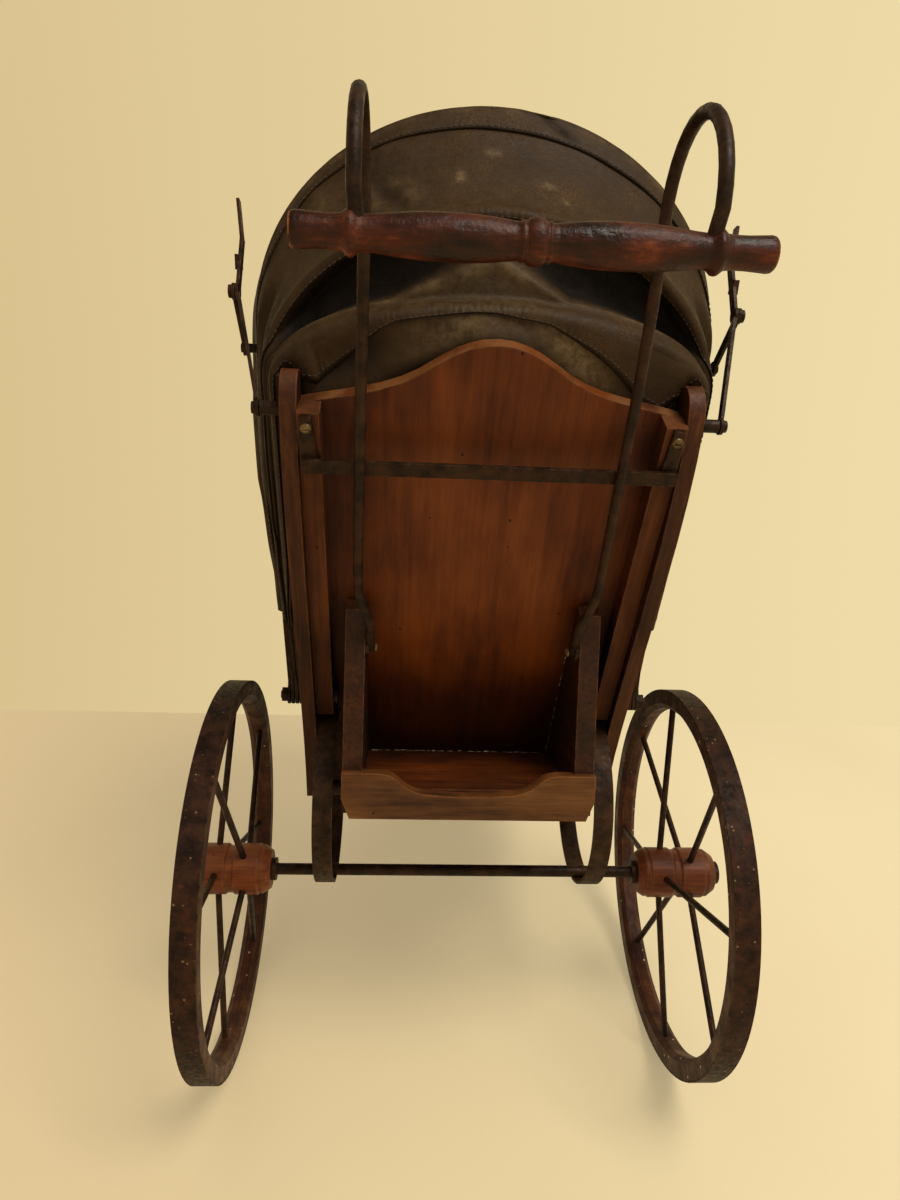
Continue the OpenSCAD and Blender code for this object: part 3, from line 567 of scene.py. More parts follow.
# %% The kinds of iron
# A row holds the name, the dark, middle, rust, bright and dust colours, and the habits that differ.
IRONS = (
    ("dark_iron", (24, 13, 6), (50, 30, 16), (76, 38, 16), (112, 82, 54), (66, 45, 26),
     {"dusty": 0.2, "gloss": 0.42, "metal": 0.15}),
    ("rod_iron", (26, 14, 7), (50, 31, 17), (72, 38, 18), (100, 74, 50), (64, 45, 27),
     {"dusty": 0.25, "gloss": 0.44, "metal": 0.15, "rub": 0}),
    ("spring_iron", (32, 18, 8), (56, 35, 18), (78, 43, 20), (116, 86, 56), (78, 56, 34), {}),
    ("tyre_iron", (26, 12, 5), (50, 26, 12), (80, 38, 16), (132, 98, 64), (66, 42, 24),
     {"knocks": 0.55}),
    ("screw_metal", (70, 56, 38), (124, 104, 72), (98, 66, 38), (190, 172, 136), (110, 90, 62),
     {"gloss": 0.4, "metal": 0.7}),
)
for *recipe, habits in IRONS:
    iron(*recipe, **habits)
print("iron finishes", [row[0] for row in IRONS])

# %% [markdown]
# ## Dress the CAD pieces
# Each solid keeps its shape and gets the finish that suits it. Some pieces have a finish of their
# own, and the others get one by their material slot in the record. A slot without a row in the
# table has a finish of the same name.

# %% Round faces and sharp edges
CREASE_ANGLE = 32
WELD = 0.01 * MM
ROD_WELD = 0.5 * MM


def soften(piece, reach):
    """Shades round faces as round, and keeps every real edge sharp."""
    mesh = piece.data
    for label in ("custom_normal", "sharp_edge", "sharp_face"):
        if label in mesh.attributes:
            mesh.attributes.remove(mesh.attributes[label])
    mesh.polygons.foreach_set("use_smooth", [True] * len(mesh.polygons))
    weld = piece.modifiers.new("weld", "WELD")
    weld.merge_threshold = reach
    crease = piece.modifiers.new("crease", "EDGE_SPLIT")
    crease.split_angle = math.radians(CREASE_ANGLE)
    crease.use_edge_sharp = False


# %% Assign the finishes
BY_SLOT = {
    "body_wood": "side_wood",
    "box_wood": "shelf_wood",
    "handle_wood": "handle_varnish",
    "leather": "dark_iron",
    "screw": "screw_metal",
}
OWN_FINISH = {
    "panel_wood": ("back_panel",),
    "cross_wood": ("cross_board",),
    "rod_iron": ("rod_left", "rod_right"),
    "batten_wood": ("batten_left", "batten_right"),
    "front_rim_wood": ("front_wheel",),
    "chassis_wood": ("bearer_left", "bearer_right", "platform", "foot_board", "front_block"),
    "inner_wood": ("seat_board", "seat_riser", "dash_board"),
}
finish_of = {}
for row in frame["record"]["subparts"]:
    finish_of[row["node"]] = BY_SLOT.get(row["material_slot"], row["material_slot"])
for finish, nodes in OWN_FINISH.items():
    finish_of.update((node, finish) for node in nodes)
for name, piece in frame["nodes"].items():
    piece.data.materials.clear()
    piece.data.materials.append(FINISHES[finish_of[name]])
    soften(piece, ROD_WELD if finish_of[name] == "rod_iron" else WELD)
print("dressed", len(finish_of), "pieces")

# %% [markdown]
# ## The hood's bows
# The hood turns about one bolt line. Each bow is a flat iron strip bent to an arch: it rises
# almost straight from the bolt, then rounds over the top. Its outline is given by the half-width
# at the bolt, the half-width where it is widest, the height of that place, and the full reach,
# all in millimetres, and the last number is its lean in degrees. They are repeated here because
# the leather has to lie on the bows.

# %% Bow outlines
BOLT_Y, BOLT_Z = (sum(c) / 2 / MM for c in list(zip(*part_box("pivot_left")))[1:])
BOWS = {
    "rear": (125, 130, 246, 293, -11.7),
    "middle": (128, 137, 240, 340, -6.8),
    "main": (131, 146, 273, 397, 4),
    "front": (134, 157, 285, 402, 28),
}
HEM = 70
HEM_HELD = 90
SWELL_FROM = 10
SIDE_STEPS = 54
ARCH_STEPS = 66


def half_outline(bow):
    """Points (x, reach) of a bow's centre line, from the hem on the right up to the top."""
    at_bolt, widest, shoulder, reach, _ = BOWS[bow]
    points = []
    for r in np.linspace(HEM, shoulder, SIDE_STEPS + 1)[:-1]:
        swell = math.sin(math.radians(90 * (r - SWELL_FROM) / (shoulder - SWELL_FROM)))
        points.append((at_bolt + (widest - at_bolt) * swell, r))
    for a in np.linspace(0, math.pi / 2, ARCH_STEPS + 1):
        points.append((widest * math.cos(a), shoulder + (reach - shoulder) * math.sin(a)))
    return np.array(points)


def outline(bow):
    """The whole outline and its outward directions, in the bow's own plane."""
    right = half_outline(bow)
    left = right[::-1][1:] * (-1, 1)
    line = np.vstack([right, left])
    step = np.gradient(line, axis=0)
    out = np.stack([step[:, 1], -step[:, 0]], 1)
    out /= np.linalg.norm(out, axis=1)[:, None]
    return line, out


OUTLINES = {bow: outline(bow) for bow in BOWS}
REACH = {bow: OUTLINES[bow][0][:, 1] for bow in BOWS}
COLUMNS = len(OUTLINES["rear"][0])
HEIGHT_ON_BOW = np.linspace(-1, 1, COLUMNS)
print("bolt line at", round(BOLT_Y, 2), round(BOLT_Z, 2), "columns", COLUMNS)


# %% Points over a bow
def over_bow(bow, forward, outward):
    """A row of points that follows a bow: forward of its middle and outward of it, in mm."""
    line, out = OUTLINES[bow]
    lean = math.radians(BOWS[bow][4])
    flat = line + out * np.asarray(outward).reshape(-1, 1)
    ahead = np.broadcast_to(np.asarray(forward, float), (COLUMNS,))
    y = BOLT_Y + flat[:, 1] * math.sin(lean) + ahead * math.cos(lean)
    z = BOLT_Z + flat[:, 1] * math.cos(lean) - ahead * math.sin(lean)
    return np.stack([flat[:, 0], y, z], 1)


def gap_between(bow, following):
    """The distance from one bow's plane to the next one's, column by column, in mm."""
    turn = math.radians(BOWS[following][4] - BOWS[bow][4])
    return REACH[bow] * turn


print("gap of the roof at its hem", round(gap_between("main", "front")[0], 1), "mm")

# %% [markdown]
# ## Sheets of leather
# A sheet is a grid of points. Rows follow the bows and columns run from one bow to the next.
# The rows are smoothed a little so that the leather bends round the strips and doesn't crease.
# It gets a real thickness with a Solidify modifier, leather outside and cloth lining inside.


# %% Grid tools
def smooth_rows(grid, times):
    """Rounds the sheet from row to row, and leaves its first and last rows where they are."""
    for _ in range(times):
        grid[1:-1] = 0.25 * grid[:-2] + 0.5 * grid[1:-1] + 0.25 * grid[2:]
    return grid


def normals(grid):
    """Outward directions of a grid of points."""
    rows = np.gradient(grid, axis=0)
    columns = np.gradient(grid, axis=1)
    out = np.cross(rows, columns)
    return out / np.maximum(np.linalg.norm(out, axis=2), 1e-9)[:, :, None]


def lengths(grid):
    """Distance from the first row, column by column."""
    steps = np.linalg.norm(np.diff(grid, axis=0), axis=2)
    return np.vstack([np.zeros(grid.shape[1]), np.cumsum(steps, axis=0)])


def point_at(place, places, points):
    """The point at a place between points whose own places are known."""
    return np.array([np.interp(place, places, points[:, i]) for i in range(3)])


SEED_STEP = 7.31


def soft_noise(grid, size, seed):
    """Smooth noise between -1 and 1 at each point of a grid, with spots of size mm."""
    moved = (grid / size + seed * SEED_STEP).reshape(-1, 3)
    return np.array([noise.noise(Vector(p)) for p in moved]).reshape(grid.shape[:2])


def push_out(grid, swell):
    """Smooths the grid's rows twice, then moves its points outwards by swell mm."""
    smooth_rows(grid, 2)
    grid += normals(grid) * swell[:, :, None]


def clear_of_hem(bow, least):
    """1 well above the hem of a bow's leather, and down to least at the hem itself."""
    return np.clip((REACH[bow] - HEM) / HEM_HELD, least, 1)[None, :]


print("grid tools ready")

# %% [markdown]
# ## The shape of each section
# A section starts on one bow's strip and ends on the next one's. In between it is a straight
# stretch that sags inwards, with folds where old leather has given way. A section's start always
# laps over the end of the one below, as roof tiles do, so that rain runs off. The x values that a
# section hands back look into its grid, so they follow the points when these are pushed out.

# %% Lay a section between two bows
STRIP_HALF = 6.0
UNDER = 1.7
OVER = 3.0
MID_ROWS = 26
HEM_ROWS = 6
HEM_LIFT = 1.35
STRIP_START = 0.4 - STRIP_HALF
STRIP_EDGE = -STRIP_HALF - 0.5
MOST_BEHIND = -3.5
CLEARANCE = 3


def section(bow, following, hem, roll=(), mid_rows=MID_ROWS, crown=0.0, least=0.12):
    """A sheet's rows from its hem over one bow's strip, across to the next strip and its roll.

    It hands back the grid, each row's share of the way, each point's x, how freely the leather
    hangs between the bows, and how free it is of its hem.
    """
    room = gap_between(bow, following)
    leave = np.clip(room - STRIP_HALF - CLEARANCE, MOST_BEHIND, STRIP_HALF - 0.3)
    rows = list(hem)
    for part in (0.0, 0.5, 1.0):
        rows.append(over_bow(bow, STRIP_START + part * (leave - STRIP_START), OVER))
    shares = [0.0] * len(rows)
    first = over_bow(bow, leave, OVER)
    last = over_bow(following, STRIP_EDGE, UNDER)
    bolt = np.array([0, BOLT_Y, BOLT_Z])
    reach_a, reach_b = (np.linalg.norm((p - bolt)[:, 1:], axis=1) for p in (first, last))
    for part in np.linspace(0, 1, mid_rows + 2)[1:-1]:
        row = first + (last - first) * part - bolt
        grown = (reach_a + (reach_b - reach_a) * part) / np.linalg.norm(row[:, 1:], axis=1)
        row[:, 1:] *= (1 + crown * (grown - 1))[:, None]
        rows.append(row + bolt)
        shares.append(part)
    flat = [(ahead, UNDER) for ahead in (STRIP_EDGE, -2.5, 1.5, STRIP_HALF - 1)]
    for ahead, outward in (*flat, *roll):
        rows.append(over_bow(following, ahead, outward))
        shares.append(1.0)
    grid, share = np.array(rows), np.array(shares)[:, None]
    return grid, share, grid[:, :, 0], np.sin(np.pi * share), clear_of_hem(bow, least)


def hump(value, middle, width):
    """A smooth hump of height 1 around a value."""
    return np.exp(-(((value - middle) / width) ** 2))


def step_up(value, low, high):
    """A smooth step from 0 at low to 1 at high."""
    t = np.clip((value - low) / (high - low), 0, 1)
    return t * t * (3 - 2 * t)


def follow_down(surface, from_row, depth, lift):
    """A row that lies on a surface, a depth below one of its rows, lifted off it."""
    part = surface[: from_row + 1][::-1]
    away = lengths(part)
    out = normals(surface)[: from_row + 1][::-1]
    row = np.zeros((COLUMNS, 3))
    for i in range(COLUMNS):
        row[i] = point_at(depth[i], away[:, i], part[:, i])
        row[i] += lift * point_at(depth[i], away[:, i], out[:, i])
    return row


def hem_below(surface, from_row, depth, lift=HEM_LIFT, rows=HEM_ROWS):
    """Rows of an overlapping hem that lies on a surface, from its edge upwards."""
    return [follow_down(surface, from_row, depth * s, lift) for s in np.linspace(1, 0.12, rows)]


TOP_X = OUTLINES["rear"][0][:, 0]
ARCH = step_up(0.5 - np.abs(HEIGHT_ON_BOW), 0.0, 0.16)[None, :]
SIDE = step_up(np.abs(HEIGHT_ON_BOW), 0.36, 0.55)[None, :]
MIDDLE_ROW = HEM_ROWS + 3 + MID_ROWS
print("rows of a section", MIDDLE_ROW + 4)

# %% [markdown]
# ## Turn a grid into a sheet
# The grid becomes quads. Four numbers are painted on its points for the leather finish: where it
# is rubbed pale, how much painted shade darkens it in its hollows, creases and hem edges, where a
# seam gathers it into small puckers, and how far along the seam a point lies.

# %% Sheet maker
LEATHER_THICK = 1.2


def make_sheet(name, grid, worn, painted_shade, gather, thick=LEATHER_THICK):
    """A leather sheet from a grid of points in mm, with its painted numbers."""
    rows, columns = grid.shape[:2]
    quads = []
    for i in range(rows - 1):
        for a in range(i * columns, (i + 1) * columns - 1):
            quads.append((a, a + columns, a + columns + 1, a + 1))
    piece = new_piece(name, grid.reshape(-1, 3) * MM, quads, hood_leather, hood_lining)
    along = lengths(grid[-1][:, None])[:, 0] * MM
    painted = (("worn", worn), ("painted_shade", painted_shade), ("gather", gather), ("along", along))
    for label, values in painted:
        layer = piece.data.attributes.new(label, "FLOAT", "POINT")
        full = np.broadcast_to(values, (rows, columns)).astype(np.float32)
        layer.data.foreach_set("value", full.ravel())
    shell = piece.modifiers.new("thickness", "SOLIDIFY")
    shell.thickness = thick * MM
    shell.offset = 0
    shell.material_offset = 1
    shell.material_offset_rim = 0
    area = sum(face.area for face in piece.data.polygons)
    print(name, "points", rows * columns, "area", round(area, 4), "square metres")
    return piece


# %% [markdown]
# ## Hood leather
# The hood is thin black-brown leather, dull with age. Up close it has a pebble grain with a net
# of fine cracks, soft creases, grey dust on its upward faces and pale scuffs where the finish has
# gone. Painted shade darkens its hollows and hem edges, and a painted highlight lies on the crests
# of the puckers along its seams.

# %% The leather and its lining
PUCKERS = 1500.0
WEAVE = 620.0


def leather_finish():
    """Black-brown leather with a pebble grain, cracks, dust and pale scuffs."""
    f = Finish("hood_leather")
    painted_shade = f.attribute("painted_shade")
    cloud = f.noise(0.045, detail=6, rough=0.62)
    fine = f.noise(0.006, detail=6, rough=0.7)
    f.ramp(cloud, (0.3, (38, 25, 11)), (0.5, (51, 34, 15)), (0.7, (66, 46, 22)))
    crease = f.band(f.noise(0.012, f.along((0, 0, 35), 3), detail=7), 0.49, 0.53)
    f.paint((34, 24, 13), crease, 0.2)
    net = f.band(f.spots(0.0034, feature="DISTANCE_TO_EDGE"), 0.05, 0.0)
    crack = f.times(net, f.band(cloud, 0.45, 0.6))
    f.paint((18, 12, 7), crack, 0.3)
    f.paint((82, 61, 35), f.facing_up(), f.band(fine, 0.3, 0.7, 0.05, 0.3))
    scuffed = f.band(fine, 0.34, 0.62, 0.28, 1.0)
    f.paint((122, 100, 68), f.attribute("worn"), scuffed)
    # Painted shade: near black in the hollows, creases and hem edges that the sheet marks.
    f.paint((9, 5, 3), painted_shade, 0.92)
    f.paint((90, 72, 48), f.edges(0.0008), 0.5)
    wander = f.times(f.noise(0.02, detail=3), 14.0)
    phase = f.plus(f.times(f.attribute("along"), PUCKERS), wander)
    strength = f.times(f.attribute("gather"), f.band(f.noise(0.014), 0.42, 0.62))
    pucker = f.times(f.calc("SINE", phase), strength)
    # Painted highlight: a paler colour on the crests of the puckers.
    f.paint((104, 82, 52), f.band(pucker, 0.2, 1.0, 0.0, 0.1))
    pebble = f.plus(f.noise(0.0013, detail=3), f.times(crack, -0.7))
    f.relief(pebble, 0.00022)
    f.relief(f.noise(0.011, detail=5, rough=0.6), 0.0009)
    f.relief(pucker, 0.00028)
    rough = f.plus(f.band(fine, 0.3, 0.7, 0.46, 0.68), f.times(painted_shade, 0.2))
    return f.finish(rough, 0.15)


def lining_finish():
    """Brown cotton cloth on the inside of the hood."""
    f = Finish("hood_lining")
    wave = [("Vector", f.place), ("Scale", WEAVE), ("Distortion", 0.6)]
    warp, weft = (f.add("TexWave", wave, bands_direction=way) for way in "XZ")
    threads = f.times(warp.outputs["Fac"], weft.outputs["Fac"])
    f.ramp(f.noise(0.05, detail=5), (0.35, (62, 50, 38)), (0.65, (98, 82, 62)))
    f.paint((130, 112, 88), threads, 0.35)
    f.relief(threads, 0.0002)
    return f.finish(0.85, sheen=0.2)


hood_leather = leather_finish()
hood_lining = lining_finish()
print("leather and lining ready")


# %% [markdown]
# ## The rear cap
# The lowest leather closes the hood down to the back panel. It is tucked in front of the panel's
# curved top, passes over the tops of the side boards, and wraps the rear bow. Below that it is
# only a narrow hem behind the bow on each side.

# %% Where the cap ends
PANEL_LEAN = math.radians(PANEL[0])
PANEL_THICK = 10.0
PANEL_DROP = ((0, 12, 23.6, 35, 45, 60, 78, 114), (0, 1.3, 6.3, 13.5, 20, 27, 32.3, 40))
BOARD_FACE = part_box("side_right")[1].x / MM
TUCK = 7.0

panel_low, panel_high = (np.array(c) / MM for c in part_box("back_panel"))
crest_y = panel_low[1] + PANEL_THICK * math.cos(PANEL_LEAN)
crest_z = panel_high[2]


def tucked(x):
    """The point just in front of the panel, a little below its curved top, at x."""
    drop = np.interp(abs(x), *PANEL_DROP) + TUCK
    y = crest_y + drop * math.sin(PANEL_LEAN) + 0.9
    return (x, y, crest_z - drop * math.cos(PANEL_LEAN))


CAP_STOPS = [(wide, tucked(wide * 0.955)) for wide in range(0, 115, 8)] + [
    (115, tucked(112.4)),
    (117.5, (114.5, -124.2, 537.5)),
    (121, (119.5, -124.0, 539.0)),
    (124.5, (123.8, -124.6, 540.0)),
    (127, (125.2, -127.5, 543.0)),
    (128.8, (125.0, -132.5, 547.0)),
]


def cap_lower_edge():
    """The cap's lower edge: the panel's tuck line in the middle, a hem on the sides."""
    x, r = OUTLINES["rear"][0].T
    nailed = np.clip((r - 85) / 40, 0, 1)
    inward = (1 - nailed) * (UNDER - 1.0) + nailed * (BOARD_FACE + 0.9 - np.abs(x))
    edge = over_bow("rear", -STRIP_HALF - 4.5, inward)
    keys = [wide for wide, _ in CAP_STOPS]
    stops = np.array([stop for _, stop in CAP_STOPS])
    for column, (x, r) in enumerate(OUTLINES["rear"][0]):
        if r > BOWS["rear"][2] + 0.5 and abs(x) <= keys[-1]:
            point = point_at(abs(x), keys, stops)
            edge[column] = (math.copysign(point[0], x), point[1], point[2])
    return edge


print("crest of the panel, front edge", round(crest_y, 1), round(crest_z, 1))

# %% Make the rear cap
CAP_ROWS = 12


def cap_grid():
    """Rows from the lower edge up to the rear bow, then over its strip."""
    behind = over_bow("rear", -STRIP_HALF - 0.6, UNDER - 0.4)
    lower = cap_lower_edge()
    rows = []
    for share in np.linspace(0, 1, CAP_ROWS):
        ease = np.array([share**2.2, share**1.2, share])
        rows.append(lower + (behind - lower) * ease)
    for ahead in (-3.0, 1.0, STRIP_HALF - 1):
        rows.append(over_bow("rear", ahead, UNDER))
    return np.array(rows)


grid = cap_grid()
width = grid[:, :, 0]
rise = np.clip(np.linspace(0, 1.25, len(grid)), 0, 1)[:, None]
between = (np.abs(TOP_X) < 108) * (REACH["rear"] > BOWS["rear"][2])
open_part = np.sin(np.pi * rise) * between
sunk = step_up(-width, 50, 80) * hump(rise, 0.6, 0.3) + 0.3 * step_up(width, 66, 90)
lap = hump(rise - 0.3 - 0.002 * (width + 40), 0, 0.1) * hump(width, -40, 22)
dent = hump(width, 14, 16) * hump(rise, 0.75, 0.3)
crease = hump(width - 24 + 14 * rise, 0, 4)
swell = open_part * (1.2 + 2.4 * lap - 5.5 * sunk - 2.2 * dent - 1.0 * crease)
swell += open_part * 1.6 * soft_noise(grid, 24, 3)
grid += normals(grid) * swell[:, :, None]
grid = smooth_rows(grid, 1)
patch = 0.6 * hump(width, -22, 26) * hump(rise, 0.6, 0.3)
patch = patch + 1.1 * hump(width - 46 + 40 * (rise - 0.5), 0, 17) * hump(rise, 0.5, 0.4)
worn = np.clip(0.9 * patch * (0.8 + 0.3 * soft_noise(grid, 12, 8)), 0, 0.85)
shade = np.clip(0.9 * sunk * open_part + hump(rise, 0.18, 0.08) * hump(width, -44, 16), 0, 1)
gather = 0.5 * hump(rise, 0.8, 0.12) * between
rear_cap = make_sheet("hood_rear_cap", grid, worn, shade, gather)
cap_surface = grid

# %% [markdown]
# ## The lower section
# Between the rear and middle bows the leather has sunk in. It hangs in a deep pocket on each
# side of the middle, just under the bow above. Its hem laps over the cap, and old age has let
# the hem slide down on both sides, so the seam is more arched than the bow.

# %% Make the lower section
SLID_LEFT = ((0, 60, 68, 78, 87, 100, 108, 115, 122), (3, 4, 6.5, 12, 18, 24, 27, 20, 3))
SLID_RIGHT = ((0, 30, 46, 62, 74, 86, 95, 106, 116, 122), (3, 6, 12, 18, 24, 31, 38, 38, 20, 3))
slid = np.where(TOP_X < 0, np.interp(-TOP_X, *SLID_LEFT), np.interp(TOP_X, *SLID_RIGHT))
on_side = REACH["rear"] < BOWS["rear"][2]
slid[on_side] = 3.0
hem = hem_below(cap_surface, CAP_ROWS - 1, slid)
grid, share, width, loose, clear = section("rear", "middle", hem)
ridge_share = 0.44 * np.clip(1 - np.abs(width + 3) / np.where(width > -3, 46, 58), 0, 1)
falls = step_up(share, ridge_share, ridge_share + 0.3) * (1 - step_up(share, 0.84, 1.0))
depth = 5 + 13 * (1 - np.exp(-((width / 36) ** 2)))
ridge = hump(share, ridge_share, 0.1) * (share > 0)
swell = ARCH * (-depth * falls + 2.0 * ridge)
swell += loose * SIDE * clear * (3.0 - 8.0 * hump(share, 0.5, 0.18))
swell += loose * 1.5 * soft_noise(grid, 24, 1) * clear
streaming = np.sin(0.13 * width + 5 * share + 1.4 * soft_noise(grid, 60, 6))
swell += loose * ARCH * 0.7 * streaming * (np.abs(width) > 40)
push_out(grid, swell)
worn = np.clip(0.35 * ridge * ARCH * (0.7 + soft_noise(grid, 14, 5)), 0, 0.4)
worn = worn + 0.12 * hump(width, 0, 45) * step_up(ridge_share - share, -0.02, 0.1)
shade = np.clip(falls * ARCH * depth / 10, 0, 1) + 0.5 * SIDE * hump(share, 0.5, 0.15)
shade[0] = 1.0
gather = 0.6 * hump(lengths(grid), 2, 7) * ARCH
lower_section = make_sheet("hood_lower_section", grid, worn, shade, gather)
lower_surface = grid

# %% [markdown]
# ## The upper section
# Between the middle and main bows the leather is smoother. It is gathered into small puckers
# along its lower seam, where it laps over the middle bow, and it carries the palest scuffs.
# Slanting creases run down to the seam on the left, where the hood has been pulled askew.

# %% Make the upper section
lapped = 3.0 + 6.0 * hump(TOP_X, 84, 34) * (HEIGHT_ON_BOW < 0)
hem = hem_below(lower_surface, MIDDLE_ROW, lapped)
grid, share, width, loose, clear = section("middle", "main", hem)
slant = hump(width + 40 + 50 * share, 0, 5.5) * (1 - step_up(share, 0.3, 0.62))
slant = slant + 0.8 * hump(width + 62 + 42 * share, 0, 5) * (1 - step_up(share, 0.45, 0.8))
slant = slant + 0.7 * hump(width + 96 + 20 * share, 0, 7)
hollow = hump(width + 52 + 46 * share, 0, 6) * (1 - step_up(share, 0.3, 0.6))
swell = loose * (ARCH * (-4.0 + 2.2 * slant - 2.2 * hollow))
swell += loose * SIDE * clear * (4.0 - 9.0 * hump(share, 0.42, 0.15))
swell += loose * 2.2 * soft_noise(grid, 38, 12) * clear
fan = np.sin(HEIGHT_ON_BOW * 120 + 2.5 * soft_noise(grid, 40, 2))
swell += 0.35 * hump(share, 0.06, 0.1) * (share > 0) * fan
push_out(grid, swell)
SCUFFS = ((-3, 0.6, 3, 0.035), (30, 0.31, 4.5, 0.03), (-23, 0.34, 2.4, 0.05), (39, 0.2, 1.6, 0.02))
worn = sum(hump(width, x, w) * hump(share, s, d) for x, s, w, d in SCUFFS)
worn = np.clip(1.1 * worn * (0.8 + 0.8 * soft_noise(grid, 4, 9)), 0, 1)
worn = np.maximum(worn, np.clip(0.3 * slant * loose * (0.6 + soft_noise(grid, 9, 4)), 0, 0.4))
shade = np.clip(0.45 * hollow * loose + 0.5 * SIDE * hump(share, 0.42, 0.14), 0, 1)
shade[0] = 1.0
gather = 0.7 * hump(lengths(grid), 1, 6) * ARCH
gather = gather + 0.6 * hump(share, 0.9, 0.1) * hump(width, -18, 12)
upper_section = make_sheet("hood_upper_section", grid, worn, shade, gather)
upper_surface = grid

# %% [markdown]
# ## The roof
# The roof runs from the main bow forward to the front one. It dips a little between them, and
# its front edge is rolled round the front bow and sewn inside. On the left it bags outwards.

# %% Make the roof
ROOF_ROWS = 46
hem = [over_bow("main", -STRIP_HALF - 0.8, OVER)]
roll = ((STRIP_HALF + 0.9, 0.6), (STRIP_HALF + 0.9, -1.4), (STRIP_HALF - 1.5, -2.2), (-4, -2.2))
grid, share, width, loose, clear = section("main", "front", hem, roll, ROOF_ROWS, 0.85, 0.1)
swell = loose * clear * (-2.0 + 2.5 * soft_noise(grid, 48, 21))
swell += loose * SIDE * clear * (4.5 - 6.0 * hump(share, 0.35, 0.1))
swell -= loose * SIDE * clear * 5.0 * hump(share, 0.68, 0.1)
swell += loose * clear * 8.0 * step_up(HEIGHT_ON_BOW, 0.16, 0.4)
swell -= 2.0 * hump(share, 0.1, 0.05) * hump(width, 24, 16)
push_out(grid, swell)
worn = np.clip(0.3 * loose * soft_noise(grid, 30, 31), 0, 0.3)
shade = 0.8 * hump(share, 0.08, 0.05) * hump(width, 22, 14)
shade = shade + 0.4 * SIDE * (hump(share, 0.35, 0.1) + hump(share, 0.68, 0.1))
gather = 0.3 * hump(share, 0.0, 0.05)
roof = make_sheet("hood_roof", grid, worn, shade, gather)
roof_surface = grid

# %% [markdown]
# ## The band over the main bow
# A band of leather covers the joint between the upper section and the roof. It hangs a little
# way down the back, deepest in the middle and on the right, where stitches hold its edge.

# %% Make the band
BAND_KEYS = ((-150, -110, -60, -20, 20, 70, 110, 150), (7, 8, 11, 14, 16, 16, 13, 7))
band_depth = np.interp(OUTLINES["main"][0][:, 0], *BAND_KEYS)
band_depth[REACH["main"] < BOWS["main"][2]] = 7.0
rows = hem_below(upper_surface, MIDDLE_ROW, band_depth, 1.3, 8)
rows += [over_bow("main", a, 4.3) for a in (-STRIP_HALF - 0.4, -3, 0, 3, STRIP_HALF + 1)]
grid = smooth_rows(np.array(rows), 1)
band_share = np.linspace(0, 1, len(grid))[:, None]
slant = hump(grid[:, :, 0] - 52 + 34 * band_share, 0, 6) * step_up(band_share, 0.02, 0.3)
uneven = 0.5 * soft_noise(grid, 9, 41) * (1 - band_share) - 1.3 * slant
grid += normals(grid) * uneven[:, :, None]
worn = np.clip(0.3 * hump(band_share, 0.62, 0.16) * (0.3 + soft_noise(grid, 12, 44)), 0, 0.3)
gather = 0.5 * hump(lengths(grid), 1, 6) * hump(grid[:, :, 0], -5, 45)
shade = 0.75 * slant
shade[0] = 0.15 + 0.75 * step_up(grid[0, :, 0], -70, -5)
band = make_sheet("hood_band", grid, worn, shade, gather, thick=1.1)
band_surface = grid

# %% [markdown]
# ## Stitches
# Real seams read as rows of small thread humps. Each stitch is a little capsule laid along a row
# of a sheet, half sunk in the leather, and all the stitches of a seam are one mesh.

# %% The capsule maker
CAPSULE_SIDES = 6
CAPSULE = ((-0.5, 0.0), (-0.42, 0.75), (0.0, 1.0), (0.42, 0.75), (0.5, 0.0))


def tube_faces(rings, sides):
    """The quads of a tube whose rings of points follow each other."""
    quads = []
    for ring in range(rings - 1):
        for k in range(sides):
            a, b = ring * sides + k, ring * sides + (k + 1) % sides
            quads.append((a, b, b + sides, a + sides))
    return quads


def capsules(name, placed, material):
    """One piece of capsules, each given by its three axes and its middle in mm."""
    shape = []
    for along, radius in CAPSULE:
        for turn in np.arange(CAPSULE_SIDES) * 2 * math.pi / CAPSULE_SIDES:
            shape.append((along, radius * math.cos(turn), radius * math.sin(turn)))
    points = [np.array(shape) @ axes + middle for axes, middle in placed]
    faces = []
    for start in range(0, len(shape) * len(points), len(shape)):
        for face in tube_faces(len(CAPSULE), CAPSULE_SIDES):
            faces.append(tuple(start + v for v in face))
    print(name, len(points), "capsules")
    return new_piece(name, np.vstack(points) * MM, faces, material)


# %% The stitch maker
STITCH_STEP = 3.6
STITCH_LONG = 2.5
STITCH_LIFT = 0.62
THREAD = 0.42


def seam_on(name, surface, row):
    """A row of stitches on a sheet, on its outer face."""
    out = normals(surface)[row]
    line = surface[row] + out * STITCH_LIFT
    away = np.concatenate([[0], np.cumsum(np.linalg.norm(np.diff(line, axis=0), axis=1))])
    placed = []
    for middle in np.arange(STITCH_STEP, away[-1] - STITCH_STEP, STITCH_STEP):
        a, b = (point_at(middle + half, away, line) for half in (-STITCH_LONG / 2, STITCH_LONG / 2))
        up = point_at(middle, away, out)
        along = (b - a) / np.linalg.norm(b - a)
        up = up - along * up.dot(along)
        up /= np.linalg.norm(up)
        axes = np.stack([along * STITCH_LONG, up * THREAD, np.cross(along, up) * THREAD])
        placed.append((axes, (a + b) / 2))
    return capsules(name, placed, thread)


# %% Sew the seams
def mottled(name, size, detail, dark, light, rough, depth):
    """A dull finish of two card colours in small raised spots."""
    f = Finish(name)
    spot = f.noise(size, detail=detail)
    f.ramp(spot, dark, light)
    f.relief(spot, depth)
    return f.finish(rough)


waxed = ((0.4, (30, 21, 12)), (0.62, (62, 47, 29)))
thread = mottled("seam_thread", 0.0012, 2, *waxed, 0.7, 0.0002)
seams = [
    (seam_on("rear_seam", lower_surface, 1), lower_section),
    (seam_on("middle_seam", upper_surface, 1), upper_section),
    (seam_on("main_seam", band_surface, 1), band),
    (seam_on("front_seam", roof_surface, -7), roof),
]

